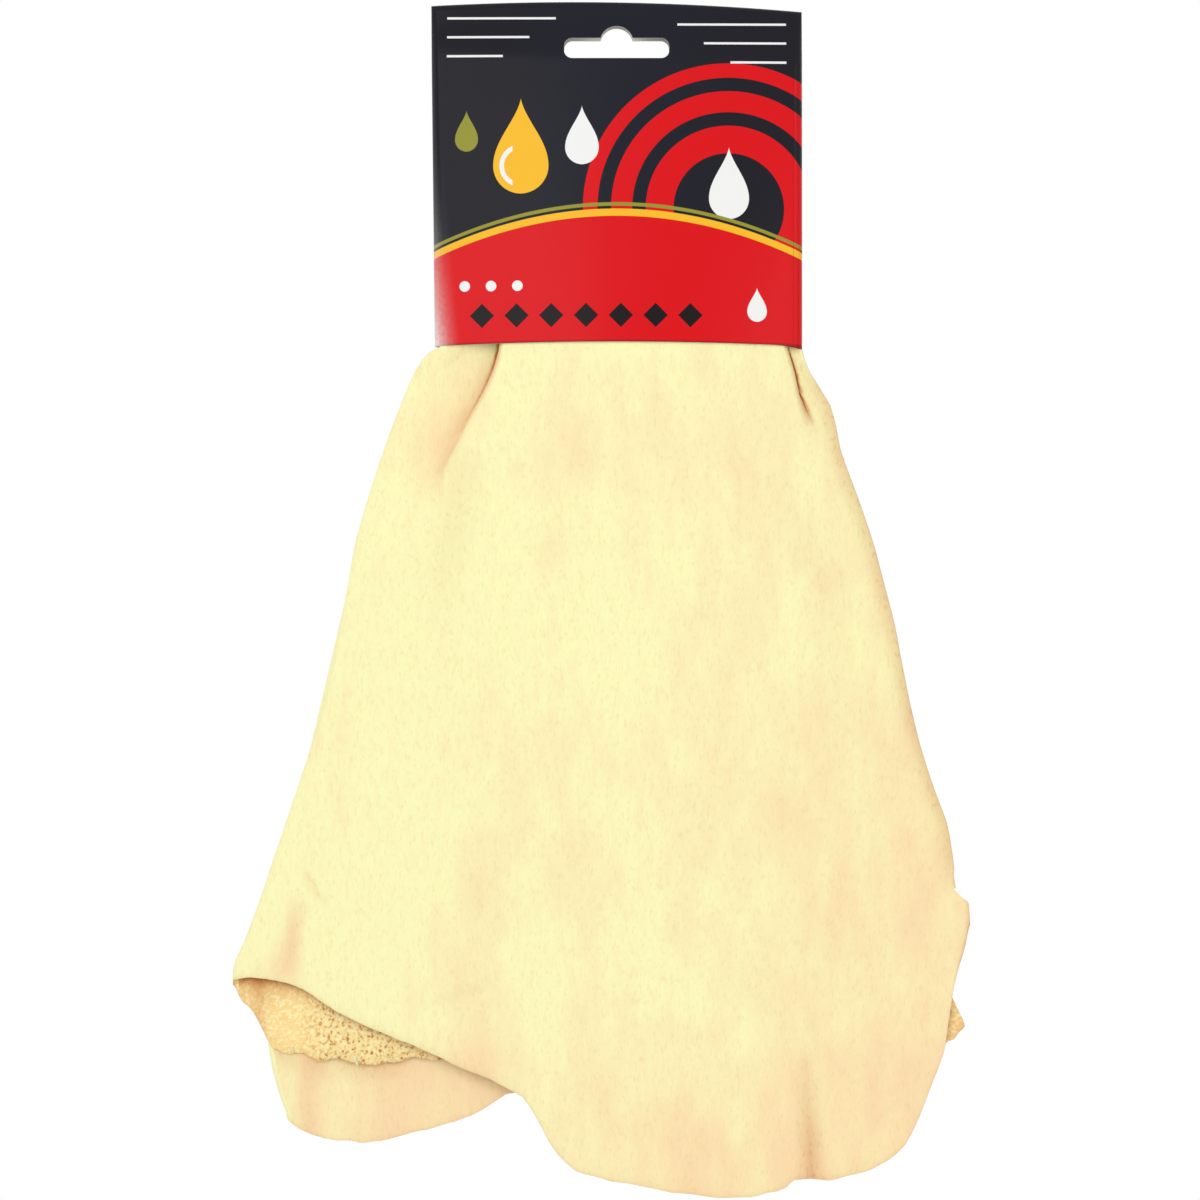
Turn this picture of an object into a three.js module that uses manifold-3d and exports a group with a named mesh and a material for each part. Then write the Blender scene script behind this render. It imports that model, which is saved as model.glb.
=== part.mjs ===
// A natural chamois skin, folded in four, hanging out of a printed sleeve card with a peg slot.
// Millimetres, +Z up. The front looks along -Y. The origin is where a display peg bears in the slot.
import * as THREE from 'three';
import { mergeVertices } from 'three/addons/utils/BufferGeometryUtils.js';
import Module from 'manifold-3d';

const wasm = await Module();
wasm.setup();

// Peg slot
const slotWidth = 32;
const slotHeight = 6.4;
const slotCorner = 2.5;
const humpRadius = 5;
const humpRise = 3.8;

// Sleeve card
const cardWidth = 113;
const cardHeight = 105;
const boardThickness = 0.5;
const slotToTopFold = 7.9;
const topFoldDepth = 4;
const sideDepth = 8.5;
const mouthBulge = 7.5;
const sideRound = 2.8;
const topEdgeDrop = 3.1;
const topPeakShare = -0.225;

// Glue flaps, lapped over the outside of the back panel
const flapWidth = 12;
const flapTopMargin = 14;
const flapFootMargin = 2;
const flapTaper = 6;
const flapWrapShare = 0.36;

// Leather skin
const leatherThickness = 0.8;
const skinSpread = 224;
const skinDrop = 260;
const skinTopBelowSlot = 3.9;
const tightFoldSpacing = 1.2;
const looseFoldSpacing = 3;
const layerGap = 0.4;
const seatClearance = 0.45;
const hangDepth = 4.5;
const sleeveSideMargin = 3.6;

// The skin's folds: how deep each one is pressed in, and how wide it is
const leftPleatDepth = 6;
const leftPleatWidth = 9;
const rightPleatDepth = 3.5;
const rightPleatWidth = 6;
const hemValleyDepth = 1.6;
const hemValleyWidth = 11;

const cutOverrun = 5;
const mergeDistance = 1e-4;

const cardTop = slotToTopFold;
const mouthZ = cardTop - cardHeight;
const halfWidth = cardWidth / 2;
const creaseX = halfWidth - sideRound;
const backFaceY = topFoldDepth / 2;
const skinTopZ = -humpRise - slotHeight - skinTopBelowSlot;

const mix = (a, b, share) => a + (b - a) * share;
const ease = (share) => {
  const t = THREE.MathUtils.clamp(share, 0, 1);
  return t * t * (3 - 2 * t);
};

// Reads a list of [place, value] shares at a place between its first and last.
function readShares(list, place) {
  if (place <= list[0][0]) return list[0][1];
  for (let i = 1; i < list.length; i += 1) {
    const [from, low] = list[i - 1];
    const [to, high] = list[i];
    if (place <= to) return mix(low, high, (place - from) / (to - from));
  }
  return list[list.length - 1][1];
}

// Builds a closed geometry from points and triangles, with the points that coincide joined.
function closedGeometry(points, triangles) {
  const loose = new THREE.BufferGeometry();
  loose.setAttribute('position', new THREE.Float32BufferAttribute(points.flat(), 3));
  loose.setIndex(triangles.flat());
  const joined = mergeVertices(loose, mergeDistance);
  const old = Array.from(joined.index.array);
  const kept = [];
  for (let i = 0; i < old.length; i += 3) {
    const [a, b, c] = old.slice(i, i + 3);
    if (a !== b && b !== c && a !== c) kept.push(a, b, c);
  }
  joined.setIndex(kept);
  return joined;
}

function toSolid(geometry) {
  const bare = geometry.clone();
  bare.deleteAttribute('normal');
  bare.deleteAttribute('uv');
  const joined = mergeVertices(bare, mergeDistance);
  return new wasm.Manifold(new wasm.Mesh({
    numProp: 3,
    vertProperties: new Float32Array(joined.attributes.position.array),
    triVerts: new Uint32Array(joined.index.array),
  }));
}

function toGeometry(solid) {
  const mesh = solid.getMesh();
  const geometry = new THREE.BufferGeometry();
  geometry.setAttribute('position', new THREE.Float32BufferAttribute(mesh.vertProperties, 3));
  geometry.setIndex(new THREE.Uint32BufferAttribute(mesh.triVerts, 1));
  geometry.computeVertexNormals();
  return geometry;
}

// The sleeve's outer form: two panels that part below the top fold, the front one bulging
// toward the mouth.
const topEdgeZ = (x) => {
  const peakX = topPeakShare * halfWidth;
  return cardTop - topEdgeDrop * ((x - peakX) / (halfWidth - peakX)) ** 2;
};
const sideDepthAt = (z) => mix(topFoldDepth, sideDepth, ease((cardTop - z) / (cardTop - skinTopZ)));
const bulgeAt = (z) => mouthBulge * Math.max(0, (cardTop - z) / cardHeight);
const sleeveMidY = (z) => backFaceY - sideDepthAt(z) / 2;

const sideSteps = 3;
const panelSteps = 16;
const heightShares = [0, 0.4, 0.78, 0.84, 0.9, 0.95];
const foldShares = [1, 0.6, 0.3, 0.1, 0];

function sleeveForm(inset, footZ) {
  const round = sideRound - inset;
  const stations = [];
  for (let i = 0; i < sideSteps; i += 1) {
    const turn = (Math.PI / 2) * (i / sideSteps);
    stations.push({ x: -creaseX - round * Math.cos(turn), rise: Math.sin(turn) });
  }
  for (let i = 0; i <= panelSteps; i += 1) {
    stations.push({ x: mix(-creaseX, creaseX, i / panelSteps), rise: 1 });
  }
  for (let i = sideSteps - 1; i >= 0; i -= 1) {
    stations.push({ x: -stations[i].x, rise: stations[i].rise });
  }
  const foldRound = topFoldDepth / 2 - inset;
  const points = [];
  const rowCount = heightShares.length + foldShares.length;
  for (let row = 0; row < rowCount; row += 1) {
    const front = [];
    const back = [];
    for (const { x, rise } of stations) {
      const top = topEdgeZ(x) - inset;
      const fold = row - heightShares.length;
      const below = fold < 0 ? 0 : foldRound * foldShares[fold];
      const z = fold < 0 ? mix(footZ, top - foldRound, heightShares[row]) : top - below;
      const fill = fold < 0 ? 1 : Math.sqrt(1 - (1 - foldShares[fold]) ** 2);
      const half = (sideDepthAt(z) / 2 - inset) * rise * fill;
      const bulge = bulgeAt(z) * Math.max(0, 1 - (x / creaseX) ** 2) * fill;
      front.push([x, sleeveMidY(z) - half - bulge, z]);
      back.push([x, sleeveMidY(z) + half, z]);
    }
    points.push(...front, ...back);
  }
  const count = stations.length;
  const triangles = [];
  const quad = (a, b, c, d) => triangles.push([a, b, c], [a, c, d]);
  for (let i = 0; i + 1 < count; i += 1) {
    for (let row = 0; row + 1 < rowCount; row += 1) {
      const low = row * 2 * count + i;
      const high = low + 2 * count;
      quad(low, low + 1, high + 1, high);
      quad(low + count + 1, low + count, high + count, high + count + 1);
    }
    quad(i + 1, i, i + count, i + count + 1);
  }
  return closedGeometry(points, triangles);
}

// The peg slot goes straight through both panels.
function slotCutter() {
  const low = -humpRise - slotHeight;
  const high = -humpRise;
  const half = slotWidth / 2;
  const humpZ = -humpRadius;
  const humpTurn = Math.asin((high - humpZ) / humpRadius);
  const outline = new THREE.Shape();
  outline.absarc(-half + slotCorner, low + slotCorner, slotCorner, -Math.PI, -Math.PI / 2, false);
  outline.absarc(half - slotCorner, low + slotCorner, slotCorner, -Math.PI / 2, 0, false);
  outline.absarc(half - slotCorner, high - slotCorner, slotCorner, 0, Math.PI / 2, false);
  outline.absarc(0, humpZ, humpRadius, humpTurn, Math.PI - humpTurn, false);
  outline.absarc(-half + slotCorner, high - slotCorner, slotCorner, Math.PI / 2, Math.PI, false);
  outline.closePath();
  const depth = 2 * (sideDepth + mouthBulge + cutOverrun);
  const cutter = new THREE.ExtrudeGeometry(outline, { depth, bevelEnabled: false, curveSegments: 6 });
  cutter.rotateX(Math.PI / 2);
  cutter.translate(0, depth / 2, 0);
  return cutter;
}

// One glue flap, with tapered ends and its fold wrapped onto the rounded side.
function flapSolid(side) {
  const inner = creaseX - flapWidth;
  const sunk = backFaceY - boardThickness / 2;
  const lapped = backFaceY + boardThickness;
  const section = new THREE.Shape();
  section.moveTo(side * inner, sunk);
  section.lineTo(side * inner, lapped);
  section.lineTo(side * creaseX, lapped);
  section.lineTo(side * (creaseX + flapWrapShare * sideRound), sunk);
  section.closePath();
  const strip = new THREE.ExtrudeGeometry(section, { depth: cardHeight, bevelEnabled: false });
  strip.translate(0, 0, mouthZ);
  const outer = halfWidth + cutOverrun;
  const footZ = mouthZ + flapFootMargin;
  const headZ = cardTop - flapTopMargin;
  const outline = new THREE.Shape();
  outline.moveTo(side * outer, footZ);
  outline.lineTo(side * creaseX, footZ);
  outline.lineTo(side * inner, footZ + flapTaper);
  outline.lineTo(side * inner, headZ - flapTaper);
  outline.lineTo(side * creaseX, headZ);
  outline.lineTo(side * outer, headZ);
  outline.closePath();
  const depth = 2 * (sideDepth + cutOverrun);
  const plan = new THREE.ExtrudeGeometry(outline, { depth, bevelEnabled: false });
  plan.rotateX(Math.PI / 2);
  plan.translate(0, depth / 2, 0);
  return toSolid(strip).intersect(toSolid(plan));
}

function headerCard() {
  const shell = toSolid(sleeveForm(0, mouthZ))
    .subtract(toSolid(sleeveForm(boardThickness, mouthZ - cutOverrun)));
  const lapped = shell.add(flapSolid(1)).add(flapSolid(-1));
  return toGeometry(lapped.subtract(toSolid(slotCutter())));
}

// The skin's outline below the mouth. Places are shares of its drop, sides are shares of its
// spread to the left and right of the middle, and hems are shares of its drop read across each
// layer from the folded left edge to the open right edge.
const frontLeftShares = [[0, -0.248], [0.016, -0.268], [0.046, -0.285], [0.093, -0.306],
  [0.187, -0.342], [0.28, -0.368], [0.374, -0.391], [0.515, -0.436], [0.609, -0.472],
  [0.74, -0.522]];
const backLeftShares = [[0, -0.243], [0.093, -0.3], [0.28, -0.362], [0.515, -0.425],
  [0.66, -0.465], [0.82, -0.477], [0.904, -0.446]];
const outerRightShares = [[0, 0.25], [0.022, 0.261], [0.069, 0.292], [0.187, 0.333],
  [0.374, 0.389], [0.562, 0.45], [0.632, 0.462], [0.673, 0.479], [1, 0.484]];
const innerRightShares = [[0, 0.245], [0.069, 0.28], [0.187, 0.32], [0.374, 0.376],
  [0.562, 0.437], [0.74, 0.45], [0.793, 0.471], [1, 0.46]];
const frontOuterHemShares = [[0, 0.741], [0.076, 0.747], [0.14, 0.78], [0.255, 0.818],
  [0.341, 0.856], [0.398, 0.881], [0.437, 0.941], [0.512, 0.976], [0.66, 0.999],
  [0.75, 0.98], [0.807, 0.977], [0.893, 0.95], [0.947, 0.866], [0.985, 0.727], [1, 0.65]];
const frontInnerHemShares = [[0, 0.741], [0.031, 0.779], [0.048, 0.818], [0.113, 0.833],
  [0.301, 0.839], [0.45, 0.9], [0.6, 0.95], [0.8, 0.93], [0.9, 0.86], [0.97, 0.811], [1, 0.793]];
const backInnerHemShares = [[0, 0.904], [0.039, 0.925], [0.107, 0.931], [0.24, 0.907],
  [0.332, 0.874], [0.5, 0.93], [0.8, 0.92], [0.9, 0.86], [1, 0.7]];
const backOuterHemShares = [[0, 0.904], [0.107, 0.905], [0.3, 0.86], [0.5, 0.92], [0.8, 0.91],
  [0.9, 0.83], [1, 0.62]];

const dropShare = (z) => (mouthZ - z) / skinDrop;
const sleeveReach = halfWidth - sleeveSideMargin;
const flareLength = sleeveSideMargin;

// Over these shares of the drop the skin leaves the sleeve's form, its folded edge loosens and
// its crown settles.
const leaveShare = 0.05;
const loosenShare = 0.4;
const settleShare = 0.5;

// How far the skin reaches to a side: held inside the sleeve, and flared below its mouth.
function skinSideX(shares, z) {
  const share = dropShare(z);
  const held = Math.sign(shares[0][1]) * sleeveReach;
  const flare = ease((mouthZ - z) / flareLength);
  return mix(held, readShares(shares, share) * skinSpread, flare);
}

const foldSpacingAt = (z) => mix(tightFoldSpacing, looseFoldSpacing, ease(dropShare(z) / loosenShare));

// A fold pressed into the skin: its line runs through shares of the spread, and it fades in and
// out over shares of the drop.
const pleats = [
  {
    depth: leftPleatDepth,
    width: leftPleatWidth,
    lineShares: [[0, -0.145], [0.19, -0.24]],
    fadeShares: [[0, 1], [0.2, 0]],
  },
  {
    depth: rightPleatDepth,
    width: rightPleatWidth,
    lineShares: [[0, 0.23], [0.09, 0.26]],
    fadeShares: [[0, 1], [0.1, 0]],
  },
  {
    depth: hemValleyDepth,
    width: hemValleyWidth,
    lineShares: [[0, 0.258], [1, 0.258]],
    fadeShares: [[0.75, 0], [0.9, 1]],
  },
];

function pressedIn(x, z) {
  const share = dropShare(z);
  return pleats.reduce((sum, { depth, width, lineShares, fadeShares }) => {
    const lineX = readShares(lineShares, share) * skinSpread;
    const near = 1 - Math.min(1, Math.abs(x - lineX) / width);
    return sum + depth * readShares(fadeShares, share) * ease(near);
  }, 0);
}

// The distance between the front and back legs of the hanging skin: the sleeve's form inside it,
// and a crown that settles toward the hem below it.
function legGap(x, z) {
  const share = dropShare(z);
  const spacing = foldSpacingAt(z);
  const closest = spacing + leatherThickness + layerGap;
  const flat = sideDepthAt(z) - 2 * boardThickness - 2 * seatClearance - leatherThickness - spacing;
  const held = flat + bulgeAt(z) * Math.max(0, 1 - (x / creaseX) ** 2);
  const left = skinSideX(frontLeftShares, z);
  const right = skinSideX(outerRightShares, z);
  const across = (2 * x - left - right) / (right - left);
  const crown = mix(mouthBulge, hangDepth, ease(share / settleShare));
  const hung = closest + crown * Math.max(0, 1 - across ** 2);
  return Math.max(closest, mix(held, hung, ease(share / leaveShare)) - pressedIn(x, z));
}

// One point of the skin's middle surface. across runs from the open right edge of the outer
// layer, round the folded left edge, to the open right edge of the inner one; along runs from
// the front hem over the top fold to the back hem.
const columnShares = [0, 0.07, 0.14, 0.2, 0.27, 0.4, 0.44, 0.6, 0.8, 0.9, 0.96, 1];
const layerSteps = columnShares.length - 1;
const edgeSteps = 3;
const hangSteps = 6;
const sleeveSteps = 2;
const topSteps = 4;
const legSteps = hangSteps + 1 + sleeveSteps;
const acrossSteps = 2 * layerSteps + edgeSteps;
const alongSteps = 2 * legSteps + topSteps;

// Heights along one leg: evenly up from the hem to the flare, one step over the flare to the
// sleeve's mouth, then evenly up to the turn of the top fold.
function legZ(legStep, hemZ, turnZ) {
  if (legStep <= hangSteps) return mix(hemZ, mouthZ - flareLength, legStep / hangSteps);
  return mix(mouthZ, turnZ, (legStep - hangSteps - 1) / sleeveSteps);
}

function skinPoint(acrossStep, alongStep) {
  const onOuter = acrossStep <= layerSteps;
  const onInner = acrossStep >= layerSteps + edgeSteps;
  const turn = onOuter ? 0 : onInner ? 1 : (acrossStep - layerSteps) / edgeSteps;
  const column = onOuter ? layerSteps - acrossStep : Math.max(0, acrossStep - layerSteps - edgeSteps);
  const layerShare = columnShares[column];
  const onFront = alongStep <= legSteps;
  const onBack = alongStep >= legSteps + topSteps;
  const legStep = onFront ? alongStep : onBack ? alongSteps - alongStep : legSteps;
  const topTurn = onFront ? 0 : onBack ? Math.PI : (Math.PI * (alongStep - legSteps)) / topSteps;
  const front = topTurn < Math.PI / 2;
  const innerSide = turn > 0.5;
  const hemShares = front
    ? (innerSide ? frontInnerHemShares : frontOuterHemShares)
    : (innerSide ? backInnerHemShares : backOuterHemShares);
  const hemZ = mouthZ - readShares(hemShares, layerShare) * skinDrop;
  const spacing = tightFoldSpacing;
  const topX = mix(-sleeveReach, sleeveReach, layerShare);
  const topRound = legGap(topX, skinTopZ) / 2;
  const turnZ = skinTopZ - topRound - spacing / 2 - leatherThickness / 2;
  const z = legZ(legStep, hemZ, turnZ);
  const left = skinSideX(front ? frontLeftShares : backLeftShares, z);
  const right = skinSideX(innerSide ? innerRightShares : outerRightShares, z);
  const half = foldSpacingAt(z) / 2;
  const edgeBow = half * Math.sin(Math.PI * turn);
  const x = mix(left + half, right, layerShare) - edgeBow;
  const offset = half * Math.cos(Math.PI * turn);
  const gap = legGap(mix(left + half, right, layerShare), z);
  const backLegY = backFaceY - boardThickness - seatClearance - leatherThickness / 2 - half;
  const middleY = backLegY - gap / 2;
  const reach = gap / 2 + offset;
  const rise = topTurn > 0 && topTurn < Math.PI ? Math.sin(topTurn) : 0;
  return new THREE.Vector3(x, middleY - reach * Math.cos(topTurn), z + reach * rise);
}

function skinGeometry() {
  const middle = [];
  for (let v = 0; v <= alongSteps; v += 1) {
    const row = [];
    for (let u = 0; u <= acrossSteps; u += 1) row.push(skinPoint(u, v));
    middle.push(row);
  }
  const faces = [[], []];
  const clampTo = (value, top) => Math.min(top, Math.max(0, value));
  for (let v = 0; v <= alongSteps; v += 1) {
    for (let u = 0; u <= acrossSteps; u += 1) {
      const before = middle[v][clampTo(u - 1, acrossSteps)];
      const after = middle[v][clampTo(u + 1, acrossSteps)];
      const under = middle[clampTo(v - 1, alongSteps)][u];
      const over = middle[clampTo(v + 1, alongSteps)][u];
      const acrossWay = after.clone().sub(before);
      const alongWay = over.clone().sub(under);
      const normal = acrossWay.cross(alongWay).normalize();
      const shift = normal.multiplyScalar(leatherThickness / 2);
      faces[0].push(middle[v][u].clone().sub(shift).toArray());
      faces[1].push(middle[v][u].clone().add(shift).toArray());
    }
  }
  const width = acrossSteps + 1;
  const far = faces[0].length;
  const triangles = [];
  const quad = (a, b, c, d) => triangles.push([a, b, c], [a, c, d]);
  for (let v = 0; v < alongSteps; v += 1) {
    for (let u = 0; u < acrossSteps; u += 1) {
      const low = v * width + u;
      const high = low + width;
      quad(low, high, high + 1, low + 1);
      quad(low + far, low + 1 + far, high + 1 + far, high + far);
    }
  }
  for (let u = 0; u < acrossSteps; u += 1) {
    const last = alongSteps * width + u;
    quad(u, u + 1, u + 1 + far, u + far);
    quad(last + 1, last, last + far, last + 1 + far);
  }
  for (let v = 0; v < alongSteps; v += 1) {
    const low = v * width;
    const end = low + acrossSteps;
    quad(low + width, low, low + far, low + width + far);
    quad(end, end + width, end + width + far, end + far);
  }
  const geometry = closedGeometry([...faces[0], ...faces[1]], triangles);
  geometry.computeVertexNormals();
  return geometry;
}

const boardMaterial = new THREE.MeshStandardMaterial({ color: 0x2a2b35, roughness: 0.3, metalness: 0 });
const leatherMaterial = new THREE.MeshStandardMaterial({ color: 0xf3e4a8, roughness: 0.95, metalness: 0 });

const group = new THREE.Group();

const card = new THREE.Mesh(headerCard(), boardMaterial);
card.name = 'header_card';
group.add(card);

const skin = new THREE.Mesh(skinGeometry(), leatherMaterial);
skin.name = 'chamois_skin';
group.add(skin);

export default group;
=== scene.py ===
import math
from functools import partialmethod

import bmesh
import bpy
import numpy as np
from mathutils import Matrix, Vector


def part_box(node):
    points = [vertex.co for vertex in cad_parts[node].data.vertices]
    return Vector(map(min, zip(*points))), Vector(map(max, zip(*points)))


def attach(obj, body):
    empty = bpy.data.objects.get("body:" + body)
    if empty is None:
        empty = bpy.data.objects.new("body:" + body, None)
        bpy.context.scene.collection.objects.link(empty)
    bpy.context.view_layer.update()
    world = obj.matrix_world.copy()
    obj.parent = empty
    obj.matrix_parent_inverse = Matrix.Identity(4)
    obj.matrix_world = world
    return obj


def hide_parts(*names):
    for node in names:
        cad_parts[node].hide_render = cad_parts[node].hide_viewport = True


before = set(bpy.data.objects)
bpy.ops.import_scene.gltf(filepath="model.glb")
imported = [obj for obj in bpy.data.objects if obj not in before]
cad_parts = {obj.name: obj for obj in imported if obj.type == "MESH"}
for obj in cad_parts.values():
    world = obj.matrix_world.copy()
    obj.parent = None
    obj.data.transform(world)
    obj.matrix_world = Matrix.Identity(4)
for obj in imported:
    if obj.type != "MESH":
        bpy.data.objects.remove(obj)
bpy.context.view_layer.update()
scene = bpy.context.scene
scene.view_settings.view_transform = "Standard"


# Camera. It stands level in front of the hanging object, a little over a metre away, and its
# frame takes in the 366 mm of the object that the photograph shows.
PHOTO_SIDE = 1200
PEG_COLUMN = 616.5
PEG_ROW = 28
METRES_PER_PIXEL = 0.000305
CAMERA_DISTANCE = 1.15
SENSOR_MM = 36

camera_data = bpy.data.cameras.new("camera")
camera_data.sensor_width = SENSOR_MM
camera_data.lens = SENSOR_MM * CAMERA_DISTANCE / (PHOTO_SIDE * METRES_PER_PIXEL)
camera = bpy.data.objects.new("camera", camera_data)
camera.location = (
    (PHOTO_SIDE / 2 - PEG_COLUMN) * METRES_PER_PIXEL,
    -CAMERA_DISTANCE,
    (PEG_ROW - PHOTO_SIDE / 2) * METRES_PER_PIXEL,
)
camera.rotation_euler = (math.pi / 2, 0, 0)
scene.collection.objects.link(camera)
scene.camera = camera


# Header card. One piece of half-millimetre coated board, die-cut, printed and varnished outside,
# white inside. It is folded over at the top and round both sides into a sleeve, and its two side
# flaps are glued over the back panel. The leather's bulk bows the front panel out.
CARD_LOW, CARD_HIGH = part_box("header_card")
BOARD = 0.0005
HALF_WIDTH = CARD_HIGH[0]
CARD_TOP = CARD_HIGH[2]
MOUTH_Z = CARD_LOW[2]
BACK_FACE_Y = CARD_HIGH[1] - BOARD
TOP_FOLD_DEPTH = 2 * BACK_FACE_Y
SIDE_DEPTH = 0.0085
MOUTH_BULGE = BACK_FACE_Y - SIDE_DEPTH - CARD_LOW[1]
SIDE_ROUND = 0.0028
TOP_DROP = 0.0031
TOP_PEAK_SHARE = -0.225
SKIN_TOP_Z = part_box("chamois_skin")[1][2]
CREASE_X = HALF_WIDTH - SIDE_ROUND
FLAP_WIDTH = 0.012
FLAP_TAPER = 0.006
FLAP_TOP_MARGIN = 0.014
FLAP_FOOT_MARGIN = 0.002
FLAP_WRAP = 0.36
SLOT_WIDTH = 0.032
SLOT_HEIGHT = 0.0064
SLOT_CORNER = 0.0025
HUMP_RADIUS = 0.005
HUMP_RISE = 0.0038
SOFT_CORNER = 0.0026
MOUTH_ARCH = 0.0009
ARCH_TOP = 0.6
CORNER_DIP = 0.0009
CORNER_DIP_X = 0.049
CORNER_DIP_WIDTH = 0.0075
CARD_LEAN = 0.0012
SLEEVE_COLUMNS = 57
SLEEVE_ROWS = 37
ROUND_STEPS = 10
FOLD_SHARES = (1, 0.8, 0.6, 0.42, 0.27, 0.15, 0.06, 0.015)


def ease(share):
    share = np.clip(share, 0, 1)
    return share * share * (3 - 2 * share)


def ramp(value, start, width):
    """0 up to a start, then rising softly to 1 over a width."""
    return ease((value - start) / width)


def fall(value, start, width):
    return 1 - ramp(value, start, width)


def card_top_z(x):
    peak = TOP_PEAK_SHARE * HALF_WIDTH
    return CARD_TOP - TOP_DROP * ((x - peak) / (HALF_WIDTH - peak)) ** 2


def side_depth(z):
    share = ease((CARD_TOP - z) / (CARD_TOP - SKIN_TOP_Z))
    return TOP_FOLD_DEPTH + (SIDE_DEPTH - TOP_FOLD_DEPTH) * share


def front_bulge(x, z):
    height_share = np.maximum(0, (CARD_TOP - z) / (CARD_TOP - MOUTH_Z))
    return MOUTH_BULGE * height_share * np.maximum(0, 1 - (x / CREASE_X) ** 2)


def new_mesh(name, points, faces, slots):
    """A mesh whose faces have the given material slots."""
    mesh = bpy.data.meshes.new(name)
    mesh.from_pydata(points, [], faces)
    mesh.polygons.foreach_set("material_index", slots)
    return mesh


def sleeve_mesh(name, inset, foot_z):
    """A closed sleeve form: slot 0 on its front, 1 on its back, 2 on the foot that closes it."""
    turns = np.linspace(0, math.pi / 2, ROUND_STEPS)[:-1]
    right_x = CREASE_X + (SIDE_ROUND - inset) * np.cos(turns)[::-1]
    rises = np.concatenate([np.sin(turns), np.ones(SLEEVE_COLUMNS), np.sin(turns)[::-1]])
    fold_round = TOP_FOLD_DEPTH / 2 - inset

    def across(share):
        round_x = SIDE_ROUND + SOFT_CORNER * ramp(share, 0.25, 0.75)
        left_x = HALF_WIDTH - round_x + (round_x - inset) * np.cos(turns)
        flat_x = np.linspace(round_x - HALF_WIDTH, CREASE_X, SLEEVE_COLUMNS)
        return np.concatenate([-left_x, flat_x, right_x])

    rows = []
    for share in np.linspace(0, 1, SLEEVE_ROWS)[:-1]:
        xs = across(1 - share)
        foot = foot_z + MOUTH_ARCH * (ARCH_TOP - (xs / HALF_WIDTH) ** 2)
        foot = foot - CORNER_DIP * ramp(xs, CORNER_DIP_X, CORNER_DIP_WIDTH)
        z = foot + (card_top_z(xs) - inset - fold_round - foot) * share
        rows.append((xs, z, 1.0))
    for share in FOLD_SHARES:
        xs = across(0)
        z = card_top_z(xs) - inset - fold_round * share
        rows.append((xs, z, math.sqrt(1 - (1 - share) ** 2)))
    points = []
    for xs, z, fill in rows:
        middle = BACK_FACE_Y - side_depth(z) / 2
        half = (side_depth(z) / 2 - inset) * rises * fill
        front_y = middle - half - front_bulge(xs, z) * fill
        back_y = middle + half
        points.extend(zip(xs, front_y, z))
        points.extend(zip(xs[1:-1], back_y[1:-1], z[1:-1]))
    count = len(xs)
    ring = 2 * count - 2

    def front(row, i):
        return row * ring + i

    def back(row, i):
        return front(row, i) if i in (0, count - 1) else row * ring + count + i - 1

    faces, slots = [], []
    last = len(rows) - 1
    for i in range(count - 1):
        for row in range(last):
            for side, slot, a, b in ((front, 0, i, i + 1), (back, 1, i + 1, i)):
                faces.append((side(row, a), side(row, b), side(row + 1, b), side(row + 1, a)))
                slots.append(slot)
        for row, slot in ((0, 2), (last, 0)):
            face = [front(row, i + 1), front(row, i), back(row, i), back(row, i + 1)]
            face = list(dict.fromkeys(face if row == 0 else face[::-1]))
            faces.append(tuple(face))
            slots.append(slot)
    return new_mesh(name, [tuple(map(float, p)) for p in points], faces, slots)


def prism_mesh(name, outline, low, high, slot):
    """A closed prism from low to high y over an outline of x and z."""
    count = len(outline)
    points = [(x, y, z) for y in (low, high) for x, z in outline]
    faces = [tuple(range(count)), tuple(range(2 * count - 1, count - 1, -1))]
    for i in range(count):
        j = (i + 1) % count
        faces.append((j, i, i + count, j + count))
    mesh = new_mesh(name, points, faces, [slot] * len(faces))
    work = bmesh.new()
    work.from_mesh(mesh)
    bmesh.ops.recalc_face_normals(work, faces=work.faces)
    work.to_mesh(mesh)
    work.free()
    return mesh


def arc(centre_x, centre_z, radius, start, end, steps):
    return [
        (centre_x + radius * math.cos(a), centre_z + radius * math.sin(a))
        for a in np.linspace(start, end, steps)
    ]


def slot_outline():
    low = -HUMP_RISE - SLOT_HEIGHT + SLOT_CORNER
    high = -HUMP_RISE - SLOT_CORNER
    side = SLOT_WIDTH / 2 - SLOT_CORNER
    turn = math.asin((HUMP_RADIUS - HUMP_RISE) / HUMP_RADIUS)
    return (
        arc(-side, low, SLOT_CORNER, -math.pi, -math.pi / 2, 8)
        + arc(side, low, SLOT_CORNER, -math.pi / 2, 0, 8)
        + arc(side, high, SLOT_CORNER, 0, math.pi / 2, 8)
        + arc(0, -HUMP_RADIUS, HUMP_RADIUS, turn, math.pi - turn, 22)
        + arc(-side, high, SLOT_CORNER, math.pi / 2, math.pi, 8)
    )


def flap_outline(side):
    foot = MOUTH_Z + FLAP_FOOT_MARGIN
    head = CARD_TOP - FLAP_TOP_MARGIN
    inner = CREASE_X - FLAP_WIDTH
    wrap = CREASE_X + FLAP_WRAP * SIDE_ROUND
    corners = [
        (wrap, foot), (CREASE_X, foot), (inner, foot + FLAP_TAPER),
        (inner, head - FLAP_TAPER), (CREASE_X, head), (wrap, head),
    ]
    return [(side * x, z) for x, z in corners]


def plain_object(name, mesh, slots):
    thing = bpy.data.objects.new(name, mesh)
    for material in slots:
        mesh.materials.append(material)
    scene.collection.objects.link(thing)
    return thing


def applied_mesh(thing):
    """The object's mesh with its modifiers applied."""
    bpy.context.view_layer.update()
    state = bpy.context.evaluated_depsgraph_get()
    return bpy.data.meshes.new_from_object(thing.evaluated_get(state))


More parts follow.
